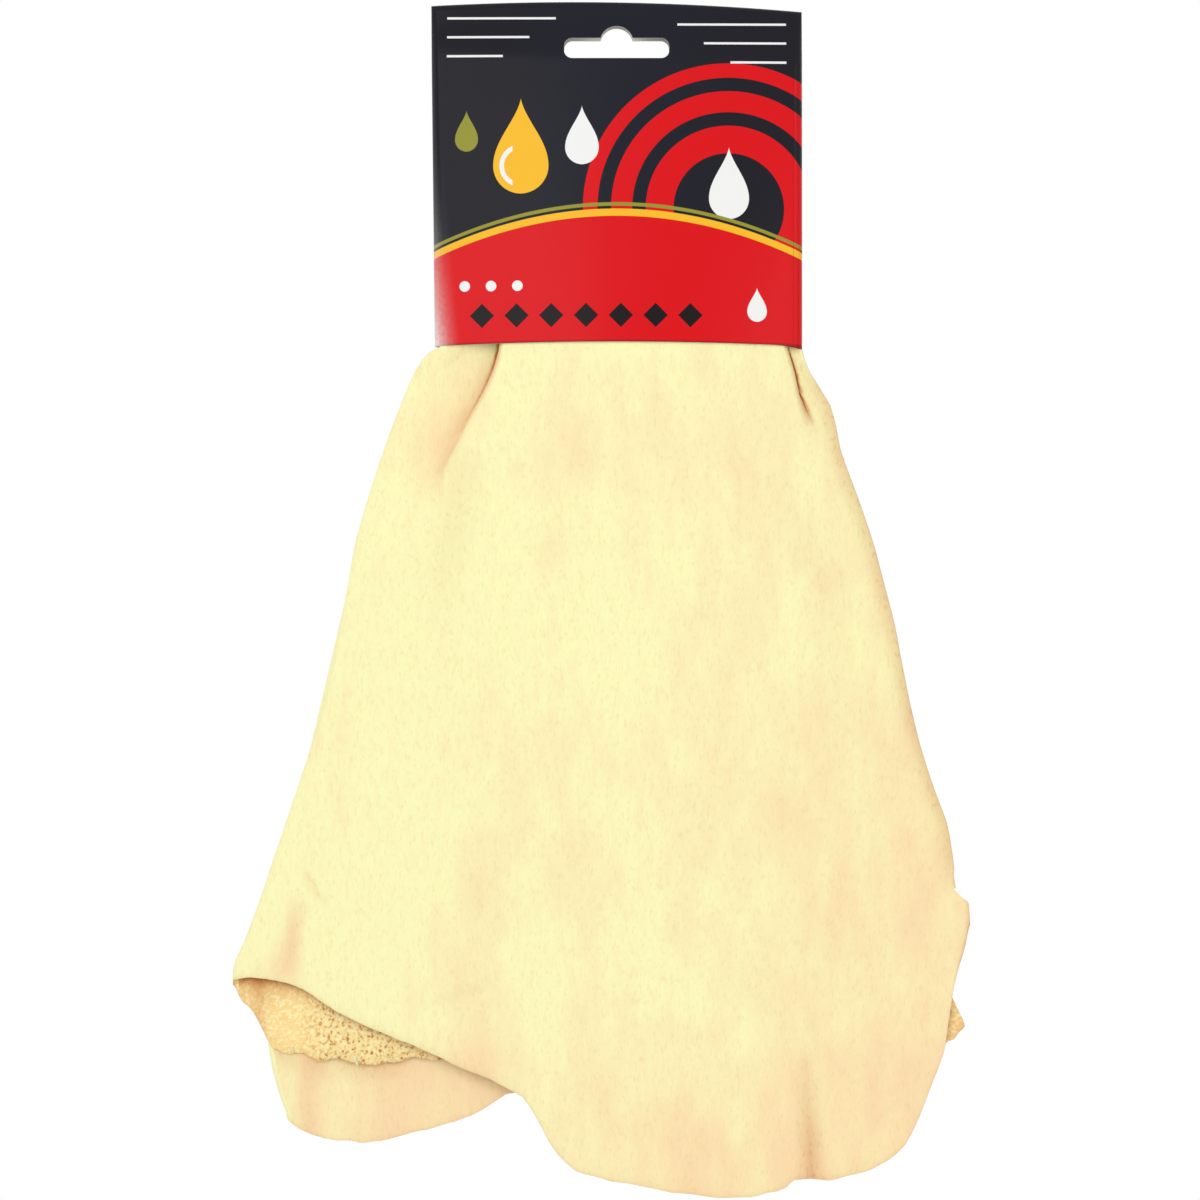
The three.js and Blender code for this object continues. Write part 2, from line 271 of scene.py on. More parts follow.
def carve(target, tool, operation):
    """Joins the tool to the target or cuts it away, and leaves a plain mesh."""
    step = target.modifiers.new("carve", "BOOLEAN")
    step.object, step.operation, step.solver = tool, operation, "EXACT"
    done = applied_mesh(target)
    target.modifiers.clear()
    target.data = done
    bpy.data.objects.remove(tool)


def add_node(tree, kind, inputs, **settings):
    """The outputs of a new node. Each input, by name or number, takes a value or an output."""
    node = tree.nodes.new(kind)
    for name, value in settings.items():
        setattr(node, name, value)
    for key, value in inputs.items():
        value = getattr(value, "socket", value)
        if isinstance(value, bpy.types.NodeSocket):
            tree.links.new(value, node.inputs[key])
        else:
            node.inputs[key].default_value = value
    return node.outputs


class Field:
    """A number that varies over a surface. Each step of arithmetic with it adds a Math node."""

    def __init__(self, socket):
        self.socket, self.tree = socket, socket.id_data

    def math(self, operation, *others):
        inputs = dict(enumerate((self, *others)))
        return Field(add_node(self.tree, "ShaderNodeMath", inputs, operation=operation)[0])

    def __rsub__(self, other):
        return self * -1.0 + other

    def clamped(self):
        """Holds the last step between 0 and 1."""
        self.socket.node.use_clamp = True
        return self

    def blend(self, below, above):
        """The colour below where this is 0 and the one above where it is 1."""
        inputs = {0: self, 6: below, 7: above}
        return add_node(self.tree, "ShaderNodeMix", inputs, data_type="RGBA")[2]

    __abs__ = partialmethod(math, "ABSOLUTE")
    __add__ = partialmethod(math, "ADD")
    __mul__ = partialmethod(math, "MULTIPLY")
    __pow__ = partialmethod(math, "POWER")
    __sub__ = partialmethod(math, "SUBTRACT")
    __truediv__ = partialmethod(math, "DIVIDE")
    cosine = partialmethod(math, "COSINE")
    higher = partialmethod(math, "MAXIMUM")
    lower = partialmethod(math, "MINIMUM")
    modulo = partialmethod(math, "MODULO")
    root = partialmethod(math, "SQRT")


def new_material(name, finish):
    material = bpy.data.materials.new(name)
    material.use_nodes = True
    shader = material.node_tree.nodes["Principled BSDF"]
    for socket, value in finish.items():
        shader.inputs[socket].default_value = value
    return material, shader


def linear(red, green, blue):
    """A colour picked on screen, 0 to 255, as the linear values that a shader takes."""
    def one(value):
        value /= 255
        return value / 12.92 if value <= 0.04045 else ((value + 0.055) / 1.055) ** 2.4

    return one(red), one(green), one(blue), 1.0


def object_place(tree):
    """Object coordinates as a vector, and their x and z."""
    vector = add_node(tree, "ShaderNodeTexCoord", {})["Object"]
    x, _, z = add_node(tree, "ShaderNodeSeparateXYZ", {0: vector})
    return vector, Field(x), Field(z)


def noise(vector, scale, detail, roughness=0.5):
    inputs = {"Vector": vector, "Scale": scale, "Detail": detail, "Roughness": roughness}
    return Field(add_node(vector.id_data, "ShaderNodeTexNoise", inputs)["Fac"])


def paint(shader, colour, *bumps):
    """Gives a shader its colour and its bumps: height, strength and distance of each."""
    tree = shader.id_data
    tree.links.new(colour, shader.inputs["Base Color"])
    below = {}
    for height, strength, distance in bumps:
        inputs = {"Height": height, "Strength": strength, "Distance": distance, **below}
        below = {"Normal": add_node(tree, "ShaderNodeBump", inputs)[0]}
    tree.links.new(below["Normal"], shader.inputs["Normal"])


CHARCOAL = linear(29, 30, 39)
RED = linear(216, 20, 27)
GOLD = linear(244, 186, 44)
OLIVE = linear(148, 145, 54)
PAPER_WHITE = linear(238, 238, 236)
BOARD_GREY = linear(214, 211, 203)
BLACK = linear(28, 22, 24)

# The print, in metres on the card: a dark field with motifs over a red foot, which meet in an
# arch under two thin lines.
INK_EDGE = 0.00012
FIELD_EDGE_Z = -0.071
FIELD_ARCH = 0.013
EDGE_LINES = (  # height over the foot, half the width, ink
    (0.0007, 0.0011, GOLD),
    (0.0032, 0.00055, OLIVE),
)
ARCS_CENTRE = (0.034, -0.056)
ARCS = ((0.021, 0.0042), (0.0325, 0.0032), (0.042, 0.0022))  # radius, half the width
DROPS = (  # centre, radius, height of the tip, ink
    (-0.029, -0.043, 0.0085, 0.0215, GOLD),
    (-0.0105, -0.0375, 0.0052, 0.0135, PAPER_WHITE),
    (-0.0455, -0.035, 0.0036, 0.0095, OLIVE),
    (0.034, -0.053, 0.0062, 0.0165, PAPER_WHITE),
)
SHINE = (-0.029, -0.043, 0.0058)
SHINE_HALF = 0.0007
SHINE_END_X = -0.0315
BARS = ((0.0025, 0.0165), (-0.0035, 0.0125), (-0.0095, 0.0085))  # height, half the length
BARS_END_X = 0.0515
BAR_HALF = 0.00035
RIGHT_BARS_DROP = 0.002
DIAMONDS = 7
DIAMOND_PITCH = 0.0105
DIAMOND_Z = -0.0885
DIAMOND_HALF, DIAMOND_ROW_HALF = 0.0037, 0.004
FOOT_DROP = (0.0425, -0.0872, 0.0031, 0.0078)
SPOTS_X = (-0.046, -0.038, -0.030)
SPOTS_Z = -0.0795
SPOT_RADIUS = 0.0016
SCORE_SHADE_HALF = 0.0001
FOOT_SHADE_HEIGHT = 0.0008
GLARE_REACH = (0.0004, 0.0086)


def ink(distance):
    """1 inside a shape and 0 outside, from a distance that is negative inside."""
    return (0.5 - distance / INK_EDGE).clamped()


def bar(x, z, centre_x, centre_z, half_x, half_z):
    return (abs(x - centre_x) - half_x).higher(abs(z - centre_z) - half_z)


def disc(x, z, centre_x, centre_z, radius):
    dx, dz = x - centre_x, z - centre_z
    return (dx * dx + dz * dz).root() - radius


def drop(x, z, centre_x, centre_z, radius, tip):
    """A water drop: round below its centre, drawn out to a point above it."""
    rise = z - centre_z
    below = rise.lower(0.0) / radius
    belly = (1.0 - below * below).clamped().root()
    above = rise.higher(0.0) * (math.pi / 2 / tip)
    neck = above.lower(math.pi / 2).cosine() ** 1.7
    return abs(x - centre_x) - (belly * neck * radius - INK_EDGE)


def field_print(x, z, picture):
    """The motifs of the dark field: arcs, drops, the shine on one of them, and rows of bars."""
    for radius, half_line in ARCS:
        picture = ink(abs(disc(x, z, *ARCS_CENTRE, radius)) - half_line).blend(picture, RED)
    for *shape, colour in DROPS:
        picture = ink(drop(x, z, *shape)).blend(picture, colour)
    shine = (abs(disc(x, z, *SHINE)) - SHINE_HALF).higher(x - SHINE_END_X)
    picture = ink(shine).blend(picture, PAPER_WHITE)
    for row, half in BARS:
        left = bar(x, z, half - BARS_END_X, row, half, BAR_HALF)
        right = bar(x, z, BARS_END_X - half, row - RIGHT_BARS_DROP, half, BAR_HALF)
        picture = ink(left.lower(right)).blend(picture, PAPER_WHITE)
    return picture


def foot_print(x, z):
    """The red foot with its row of diamonds, a drop and three spots."""
    along = (x + HALF_WIDTH).modulo(DIAMOND_PITCH) - DIAMOND_PITCH / 2
    diamonds = abs(along) + abs(z - DIAMOND_Z) - DIAMOND_HALF
    half_row = DIAMOND_PITCH * DIAMONDS / 2
    centre = DIAMOND_PITCH + half_row - HALF_WIDTH
    row = bar(x, z, centre, DIAMOND_Z, half_row, DIAMOND_ROW_HALF)
    picture = ink(diamonds.higher(row)).blend(RED, BLACK)
    picture = ink(drop(x, z, *FOOT_DROP)).blend(picture, PAPER_WHITE)
    for centre_x in SPOTS_X:
        spot = disc(x, z, centre_x, SPOTS_Z, SPOT_RADIUS)
        picture = ink(spot).blend(picture, PAPER_WHITE)
    return picture


def printed_board(name, front):
    material, shader = new_material(name, {
        "Roughness": 0.42, "Specular IOR Level": 0.03, "Coat Weight": 0.12, "Coat Roughness": 0.22,
    })
    place, x, z = object_place(shader.id_data)
    across = x / HALF_WIDTH
    squared = across * across
    sides = (abs(across) * 3.0 - 1.0).clamped()
    field, foot, edge_z = (sides * 0.35).blend(CHARCOAL, BLACK), RED, FIELD_EDGE_Z
    if front:
        field, foot = field_print(x, z, field), foot_print(x, z)
        edge_z = (1.0 - squared).clamped() * FIELD_ARCH + FIELD_EDGE_Z
    over_edge = z - edge_z
    picture = ink(over_edge).blend(field, foot)
    for height, half_line, colour in EDGE_LINES:
        picture = ink(abs(over_edge - height) - half_line).blend(picture, colour)

    # Painted shade darkens the print on the score line of the right fold, and along the foot that
    # the die crushed, which faces down.
    picture = (ink(abs(x - CREASE_X) - SCORE_SHADE_HALF) * 0.4).blend(picture, BLACK)
    foot_z = squared * -MOUTH_ARCH + (MOUTH_Z + ARCH_TOP * MOUTH_ARCH)
    foot_shade = (1.0 - (z - foot_z) / FOOT_SHADE_HEIGHT).clamped()
    picture = (foot_shade * 0.6).blend(picture, BLACK)

    # Painted highlight: the print whitens along the left fold, most of all near the foot, for the
    # glare on the varnish of that rounded edge.
    fibre = noise(place, 900.0, 2.0)
    down = ((CARD_TOP - z) / (CARD_TOP - MOUTH_Z)).clamped()
    gap = x + HALF_WIDTH - down * CARD_LEAN
    gap = gap / (down * GLARE_REACH[1] + GLARE_REACH[0])
    painted_glare = (1.0 - gap).clamped() ** 2.4 * (fibre * 0.7 + 0.55)
    picture = (painted_glare * down ** 4.5).clamped().blend(picture, PAPER_WHITE)
    paint(shader, picture, (noise(place, 34.0, 2.0), 0.25, 0.0006), (fibre, 0.08, 0.0001))
    return material


def bare_board():
    material, shader = new_material("bare_white_board", {"Roughness": 0.8})
    layers = noise(object_place(shader.id_data)[0], 1800.0, 3.0)
    paint(shader, (layers * 0.5).blend(PAPER_WHITE, BOARD_GREY), (layers, 0.3, 0.0001))
    return material


def lean_left_edge(mesh):
    """The die-cut blank narrows a little downward: its left edge leans in."""
    for vertex in mesh.vertices:
        share = (CARD_TOP - vertex.co.z) / (CARD_TOP - MOUTH_Z)
        vertex.co.x += CARD_LEAN * share * max(0, -vertex.co.x / HALF_WIDTH)


BACK_SLOT, BARE_SLOT = 1, 2
HOLLOW_OVERRUN = 0.005
CUT_OVERRUN = 0.01
BOARD_SHARP_ANGLE = math.radians(35)


def build_card():
    slots = [printed_board("printed_front", True), printed_board("printed_back", False)]
    slots.append(bare_board())
    card = plain_object("folded_card", sleeve_mesh("folded_card", 0.0, MOUTH_Z), slots)
    hollow = sleeve_mesh("hollow", BOARD, MOUTH_Z - HOLLOW_OVERRUN)
    hollow.polygons.foreach_set("material_index", [BARE_SLOT] * len(hollow.polygons))
    carve(card, plain_object("hollow", hollow, slots), "DIFFERENCE")
    for side in (-1, 1):
        low, high = BACK_FACE_Y - BOARD / 2, BACK_FACE_Y + BOARD
        flap = prism_mesh("flap", flap_outline(side), low, high, BACK_SLOT)
        carve(card, plain_object("flap", flap, slots), "UNION")
    depth = SIDE_DEPTH + MOUTH_BULGE + CUT_OVERRUN
    cutter = prism_mesh("slot", slot_outline(), -depth, depth, BARE_SLOT)
    carve(card, plain_object("slot", cutter, slots), "DIFFERENCE")
    lean_left_edge(card.data)
    card.data.polygons.foreach_set("use_smooth", [True] * len(card.data.polygons))
    card.data.set_sharp_from_angle(angle=BOARD_SHARP_ANGLE)
    return card


card = build_card()
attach(card, "card")
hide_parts("header_card")


# Chamois skin. One natural skin, oil tanned, smooth on one side and napped on the flesh side. It
# is folded once lengthwise, with the fold as its long left edge, and once across inside the card,
# and is gathered to half its width there. Nothing but the squeeze of the card holds it.
LEATHER = 0.0008
SEAT = 0.00045
SLEEVE_REACH = 0.0535
FLARE = 0.003
HANG_Z = -0.0979
SKIN_DROP = 0.2573
SKIN_SPREAD = 0.2217
FOLD_BASE_Z = SKIN_TOP_Z - 0.0046
TIGHT_SPACING = 0.0012
LOOSE_SPACING = 0.003
LAYER_GAP = 0.0004
HANG_DEPTH = 0.0045
TURNED_EDGE = 0.048
TURNED_END = {True: 0.637, False: 0.56}  # of the front leg and of the back one
TUCK_DEPTH = 0.052
TUCK_BEND, TUCK_LEVEL = 0.0036, 0.0012
OPEN_BEND, OPEN_LEVEL = 0.074, 0.047  # where the tuck has opened, as shares of the width
TUCK_TOP = -0.16
FLAT = 0.001  # an angle that stands for none, which may not be 0


def traced(*pairs):
    """A line given in thousandths: its places and its values there."""
    return np.array(pairs).T / 1000


# Outlines as the photograph gives them. Edges: share of the drop, share of the spread. Hems: share
# of the way across from the left edge, share of the drop.
FRONT_LEFT = traced(
    (0, -249), (22, -272), (46, -285), (93, -306), (140, -325), (187, -342), (233, -357),
    (280, -366), (374, -386.5), (421, -398.5), (468, -415), (515, -433), (562, -451.5),
    (609, -470), (656, -488), (703, -509), (726, -522), (750, -524),
)
BACK_LEFT = traced(
    (0, -243), (93, -303), (280, -366), (515, -430), (660, -470), (820, -477), (845, -472.5),
    (875, -464), (904, -450.5),
)
OUTER_RIGHT = traced(
    (0, 253), (22, 259), (46, 276), (69, 292), (93, 299), (116, 303), (140, 312), (187, 332),
    (233, 350), (280, 364), (327, 378), (374, 388), (421, 399), (468, 413), (515, 430), (562, 450),
    (609, 459.2), (638.5, 459), (641, 465), (648, 471.2), (650.5, 477.5), (652, 480.6),
    (662.5, 481.5), (675, 482.3), (720, 482.5), (800, 480), (1000, 480),
)
INNER_RIGHT = traced(
    (0, 245), (69, 280), (187, 320), (374, 376), (562, 437), (740, 448), (768, 460), (797, 476.7),
    (1000, 476),
)
FRONT_OUTER_HEM = traced(
    (0, 745.5), (5, 742.5), (18, 742), (53, 744.5), (75, 747.5), (86, 752.5), (110, 762.5),
    (140, 782), (175, 796), (220, 813), (273, 832), (303, 845), (352, 862), (383, 876), (398, 884),
    (417, 912), (434, 942.5), (463, 968.5), (515, 981), (551, 986), (598, 994), (661, 1000.5),
    (693, 1000.5), (723, 996.5), (751.5, 992), (756, 980), (775, 979.3), (815, 981), (840, 976),
    (866, 969), (893, 957), (914, 940.5), (934, 907), (947, 876), (962, 842), (972, 814),
    (975, 768), (985, 727), (995, 701), (1000, 672),
)
FRONT_INNER_HEM = traced(
    (0, 748), (7.5, 764.5), (27.5, 786.5), (39, 805), (47.5, 821), (54, 826), (82, 832),
    (105, 836), (132, 839), (165, 843), (194, 845), (220, 843), (240, 839), (264, 838), (286, 841),
    (350, 842), (450, 875), (600, 930), (800, 920), (900, 860), (965, 823), (981, 815.5),
    (990, 808), (1000, 797),
)
BACK_INNER_HEM = traced(
    (0, 911), (13, 921), (39, 930.5), (71, 935.5), (107, 938.5), (145, 936), (174, 929),
    (206, 923), (240, 916), (270, 908), (294, 899), (316, 889), (345, 878), (365, 878), (500, 920),
    (800, 920), (900, 860), (1000, 700),
)
BACK_OUTER_HEM = traced(
    (0, 905), (107, 910), (300, 865), (500, 920), (800, 910), (900, 830), (1000, 620),
)
TUCK_LINE = traced(
    (0, -155.5), (15, -160), (31, -166), (45, -173.5), (59, -182), (77, -195), (92, -205),
    (111, -216), (147, -238), (250, -235), (500, -206), (750, -260),
)

HEMS = {
    # the outer and inner hem of the front leg and of the back one
    True: (FRONT_OUTER_HEM, FRONT_INNER_HEM), False: (BACK_OUTER_HEM, BACK_INNER_HEM),
}
INNER_FOLD = {
    # a band of painted shade for a faint fold on the inner layer of each leg: its x, width and
    # shade
    True: (-0.1085, 0.0021, 0.34), False: (-0.0944, 0.003, 0.1),
}

# Creases and soft valleys of the hanging front, each with its line, the drop over which it fades
# in and out, its depth, half width and how much painted shade darkens the leather in it.
CREASES = (
    (((0.0, -0.203), (0.034, -0.252)), 0.01, 0.02, 0.0003, 0.0014, 0.12),
    (((0.636, -0.427), (0.745, -0.46)), 0.04, 0.01, 0.0004, 0.003, 0.07),
    (((0.605, -0.436), (0.66, -0.396)), 0.015, 0.015, 0.0003, 0.0013, 0.16),
    (((0.8, 0.258), (0.9, 0.262), (1.0, 0.268)), 0.17, 0.001, 0.0015, 0.0028, 0.48),
    (((0.77, 0.27), (0.86, 0.26)), 0.03, 0.02, 0.0003, 0.0009, 0.14),
    (((0.12, -0.205), (0.4, -0.262)), 0.05, 0.2, 0.0012, 0.006, 0.1),
    (((0.05, 0.06), (0.5, 0.11)), 0.06, 0.3, 0.0007, 0.011, 0.0),
    (((0.15, 0.245), (0.55, 0.36)), 0.08, 0.2, 0.0009, 0.007, 0.05),
    (((0.744, -0.17), (0.78, -0.274)), 0.012, 0.012, 0.0003, 0.0035, 0.12),
)


# The pinch beside the card's right corner: its line, and the lower strip beyond its rounded lip.
PINCH_LINE = traced(
    (0, 228.5), (17, 234), (30, 238.5), (44, 241.5), (58, 246), (71, 253.5), (100, 264),
    (300, 330), (600, 425), (1000, 455),
)
PINCH_BEND, OPEN_PINCH_BEND = 0.0019, 0.0045
PINCH_STRIP = 0.004
PINCH_SHOULDER = 0.012


def share_curve(line, place, blur=0.006):
    """The value of a line at a place, with its corners rounded by a running mean."""
    steps = (-1, -0.5, 0, 0.5, 1)
    return sum(np.interp(place + step * blur, *line) for step in steps) / len(steps)


def line_x(line, q, blur=0.006):
    return share_curve(line, q, blur) * SKIN_SPREAD


def bell(distance, width):
    return np.exp(-((distance / width) ** 2))


def decay(distance, width):
    return np.exp(-np.maximum(distance, 0) / width)


def shares(count):
    """A row of even steps from 0 up to the last one before 1."""
    return np.linspace(0, 1, count + 1)[None, :-1]


def mix(low, high, share):
    return low + (high - low) * share


def ripple(x, z, seed, size):
    """A soft uneven swell between about -1 and 1, from waves that cross at chance angles."""
    chance = np.random.default_rng(seed)
    total = 0
    for _ in range(7):
        turn, phase = chance.uniform(0, math.pi), chance.uniform(0, 2 * math.pi)
        length = size * chance.uniform(0.7, 1.6)
        along = x * math.cos(turn) + 0.6 * z * math.sin(turn)
        total = total + np.sin(along * 2 * math.pi / length + phase)
    return total / 3.2


def layer_spacing(q):
    return mix(TIGHT_SPACING, LOOSE_SPACING, ease(q / 0.4))


def turned_spacing(q):
    return mix(0.00095, 0.0016, ease(q / 0.3) * fall(q, 0.45, 0.15))


def edge_x(line, q, side, blur=0.006):
    drop = q * SKIN_DROP
    if side > 0:
        reach = SLEEVE_REACH + 0.0018 * ramp(drop, -0.008, 0.007)
        flare = ramp(drop, -0.0005, 0.0016)
    else:
        reach = CARD_LEAN - SLEEVE_REACH
        flare = ramp(drop, -0.0012, FLARE)
    return mix(reach, line_x(line, q, blur), flare)


def crease_field(x, q):
    """How deep the front is pressed in at a point, and the painted shade of its creases there."""
    depth, dark = 0, 0
    for line, fade_in, fade_out, press, half_width, painted_shade in CREASES:
        start, end = line[0][0], line[-1][0]
        centre = np.interp(q, *zip(*line)) * SKIN_SPREAD
        weight = ease((end - q) / fade_out) * ease((q - start) / fade_in)
        profile = weight * bell(x - centre, half_width)
        depth = depth + press * profile
        dark = dark + painted_shade * profile
    return depth, dark


def closest_gap(q):
    return layer_spacing(q) + LEATHER + LAYER_GAP + 0.0008 * ramp(q, 0.02, 0.2)


def packet_gap(x, q, left, right):
    """Distance between the middles of the front and back pairs of layers."""
    z = HANG_Z - q * SKIN_DROP
    spacing, closest = layer_spacing(q), closest_gap(q)
    across = np.clip((2 * x - left - right) / (right - left), -1, 1)
    held = side_depth(z) - 2 * BOARD - 2 * SEAT - LEATHER - spacing + front_bulge(x, z)
    hung = mix(MOUTH_BULGE + 0.0015, HANG_DEPTH, ease(q / 0.5))
    hung = closest + hung * (1 - 0.7 * ramp(q, 0.5, 0.35)) * (1 - across**2)
    return np.maximum(closest, mix(held, hung, ease(q / 0.05)))


LEFT_COLUMNS = 27
BEND_COLUMNS = 8
LEVEL_COLUMNS = 6
TUCK_COLUMNS = LEFT_COLUMNS + 2 * BEND_COLUMNS + LEVEL_COLUMNS
LINE_COLUMNS = np.array([[
    -0.0026, -0.002, -0.0015, -0.0011, -0.0008, -0.0005, -0.0002, 0.0001, 0.0005, 0.001,
]])
BEFORE_LINE = 13
LIP_COLUMNS = 5
STRIP_COLUMNS = 20
TURN_COLUMNS = 8
FLAP_COLUMNS = 14
DEPTHS = np.linspace((HANG_Z - FOLD_BASE_Z) / SKIN_DROP, 1.02, 460)[:, None]


def bent(bend, angle, turn):
    """How far a share of a bend has gone ahead and aside."""
    return bend / angle * np.sin(angle * turn), bend / angle * (1 - np.cos(angle * turn))


def pair_line(left, right, folded, pinched, body_count=50):
    """The middle line of a pair of layers at every height, from its left fold to the right edge.
    The front pair is tucked: it doubles back under itself near its left edge, and columns stand
    close together where it goes under its lip. Its outer layer has a sharp pinch near the right
    edge, and the layers behind only give way to it."""
    q = DEPTHS
    inside = (q - DEPTHS[0]) / (TUCK_TOP - DEPTHS[0])
    angle = math.pi * ease(inside / 0.4) * fall(q, 0.035, 0.16)
    angle = np.maximum(angle, FLAT) if folded else np.full_like(q, FLAT)
    opened = ramp(q, 0.12, 0.45)
    bend = mix(TUCK_BEND, OPEN_BEND * (right - left), opened)
    level = mix(TUCK_LEVEL, OPEN_LEVEL * (right - left), opened)
    if folded:
        level = level + TUCK_DEPTH * ramp(inside, 0.4, 0.6) * fall(q, -0.03, 0.07)
    line = line_x(TUCK_LINE, q)
    middle = line + (bend / math.pi + level / 2) * (1 - np.cos(angle)) / 2
    advance = 2 * bend * np.sin(angle) / angle + level * np.cos(angle)
    start, end = middle - advance / 2, middle + advance / 2
    step = 2 * bend * (1 - np.cos(angle)) / angle + level * np.sin(angle)
    close = line - layer_spacing(q) / 2 - LEATHER / 2 + LINE_COLUMNS
    close = np.minimum(close, start - 0.0003 * np.arange(LINE_COLUMNS.size, 0, -1)[None, :])
    before = mix(left, close[:, :1], shares(BEFORE_LINE))
    after = LEFT_COLUMNS - BEFORE_LINE - LINE_COLUMNS.size
    after = mix(close[:, -1:], start, shares(after + 1)[:, 1:])
    close = np.concatenate([before, close, after], axis=1)
    left_x = mix(left, start, shares(LEFT_COLUMNS))
    left_x = mix(left_x, close, ease((angle / math.pi - 0.5) / 0.3))
    left_y = step * ease((left_x - left) / np.maximum(np.minimum(line, start) - left, 1e-5))
    turn = shares(BEND_COLUMNS)
    ahead, aside = bent(bend, angle, turn)
    first_x, first_y = start + ahead, step - aside
    ahead, aside = bent(bend, angle, 1)
    back = shares(LEVEL_COLUMNS)
    level_x = start + ahead + level * np.cos(angle) * back
    level_y = step - aside - level * np.sin(angle) * back
    ahead, second_y = bent(bend, angle, 1 - turn)
    second_x = end - ahead

    weight = ease((0.1 - q) / 0.06) * ramp(q, -0.06, 0.055) if folded else 0 * q
    angle = np.maximum(0.8 * math.pi * weight, FLAT)
    bend = mix(PINCH_BEND, OPEN_PINCH_BEND, opened)
    drop = 2 * bend * (1 - np.cos(angle)) / angle
    bulge = drop * 0.5 * ramp(q, 0.002, 0.02)
    line = line_x(PINCH_LINE, q, 0.003)
    advance = 2 * bend * np.sin(angle) / angle
    line = np.minimum(line, right - 0.0015 - advance / 2)
    near, far = line - advance / 2, line + advance / 2
    body_x = mix(end, near, shares(body_count))
    turn = shares(LIP_COLUMNS)
    ahead, aside = bent(bend, angle, turn)
    over_x, over_y = near + ahead, aside - bulge
    ahead, aside = bent(bend, angle, 1 - turn)
    under_x, under_y = far - ahead, drop - bulge - aside
    half = STRIP_COLUMNS // 2
    out = [np.linspace(0, 0.75, half + 1)[:-1], np.linspace(0.75, 0.985, half), [0.994, 1]]
    out = np.concatenate(out)[None, :]
    strip_x = mix(far, right, out)
    strip_y = (drop - bulge) * decay(strip_x - far, PINCH_STRIP)
    body_y = -bulge * decay(near - body_x, PINCH_SHOULDER)
    if not pinched:
        over_x, under_x = mix(near, line, turn), mix(line, far, turn)
        body_y, over_y, under_y, strip_y = (
            (drop - bulge) * decay(np.abs(x - line), PINCH_STRIP)
            for x in (body_x, over_x, under_x, strip_x)
        )
    xs = [left_x, first_x, level_x, second_x, body_x, over_x, under_x, strip_x]
    ys = [left_y, first_y, level_y, second_y, body_y, over_y, under_y, strip_y]
    return np.stack([np.concatenate(xs, axis=1), np.concatenate(ys, axis=1)])


def beside(line, distance):
    """The line moved sideways by a distance, to the back where the line runs to the right."""
    dx, dy = np.gradient(line, axis=2)
    length = np.maximum(np.hypot(dx, dy), 1e-9)
    return line + np.stack([-dy, dx]) / length * distance


TURNED_TAPER = 0.93
HEM_BLUR = 0.004
HEM_GUESS, HEM_ROUNDS, HEM_STEP = 0.8, 6, 0.7
RAGGED_FLESH_HEM, RAGGED_HEM = 0.0006, 0.00018


def column_ends(front, xs, left, right, inner_right, counts, flap_width):
    """How far down each column reaches: to its layer's hem or the end of the turned edge. The
    hems are a little ragged, most of all where the flesh side shows."""
    outer_hem, inner_hem = HEMS[front]
    turned_end = TURNED_END[front]
    ends = list(turned_end * (1 - flap_width / TURNED_EDGE * TURNED_TAPER))
    ends += [turned_end] * counts[1]
    behind = sum(counts[:3]) + counts[3] // 2
    depths = DEPTHS[:, 0]
    for column in range(len(ends), sum(counts)):
        hem, edge = (inner_hem, inner_right) if column >= behind else (outer_hem, right)
        end = HEM_GUESS
        for _ in range(HEM_ROUNDS):
            rows = left[:, 0], edge[:, 0], xs[:, column]
            low, high, x = (np.interp(end, depths, row) for row in rows)
            across = np.clip((x - low) / (high - low), 0, 1)
            end = mix(end, share_curve(hem, across, HEM_BLUR), HEM_STEP)
        ends.append(end)
    hem_x = np.array([np.interp(end, depths, xs[:, i]) for i, end in enumerate(ends)])
    columns = np.arange(len(ends))
    flesh_shows = (columns >= sum(counts[:4])) & front
    ragged = np.where(flesh_shows, RAGGED_FLESH_HEM, RAGGED_HEM)
    wear = ragged * ripple(hem_x, 0, 31 if front else 37, 0.008)
    wear = wear + 0.5 * ragged * ripple(hem_x, 0, 41 if front else 43, 0.0035)
    return np.array(ends) + wear / SKIN_DROP * (columns >= sum(counts[:2]))


def paint_bend_shade(tint, xs, counts):
    """Adds painted shade in the pinch's crevice and along the tuck to a front leg."""
    q = DEPTHS
    first, last = sum(counts[:2]), sum(counts[:3])
    strip = slice(first, first + STRIP_COLUMNS + 2)
    lip = slice(strip.stop, strip.stop + 2 * LIP_COLUMNS)
    fade = ease((0.1 - q) / 0.045) * ramp(q, -0.045, 0.04)
    tint[:, lip] += fade * np.linspace(1.9, 0, 2 * LIP_COLUMNS)[None, :]
    past = xs[:, strip] - (xs[:, lip].max(axis=1, keepdims=True) + LEATHER / 2)
    core = ease((0.07 - q) / 0.03) * ramp(q, -0.002, 0.02)
    tint[:, strip] += (0.9 * fade + 1.7 * core) * bell(past, 0.0005)
    tint[:, strip] += 0.14 * fade * decay(past, 0.003)

    under = slice(last - LEFT_COLUMNS - BEND_COLUMNS, last)
    lip = slice(under.start - LEVEL_COLUMNS - BEND_COLUMNS, under.start)
    lip_x = xs[:, lip].min(axis=1, keepdims=True) - LEATHER / 2
    past = xs[:, under] - lip_x
    fade = np.interp(q, (-0.1, -0.02, 0.01, 0.035, 0.065, 0.11), (0, 1, 1, 0.72, 0.38, 0))
    tint[:, under] += fade * 1.15 * bell(past + 0.0003, 0.0006)
    tint[:, under] += 0.1 * fade * decay(-past, 0.002)
    tint[:, lip] += 0.7 * fade * bell(xs[:, lip] - lip_x, 0.0006)


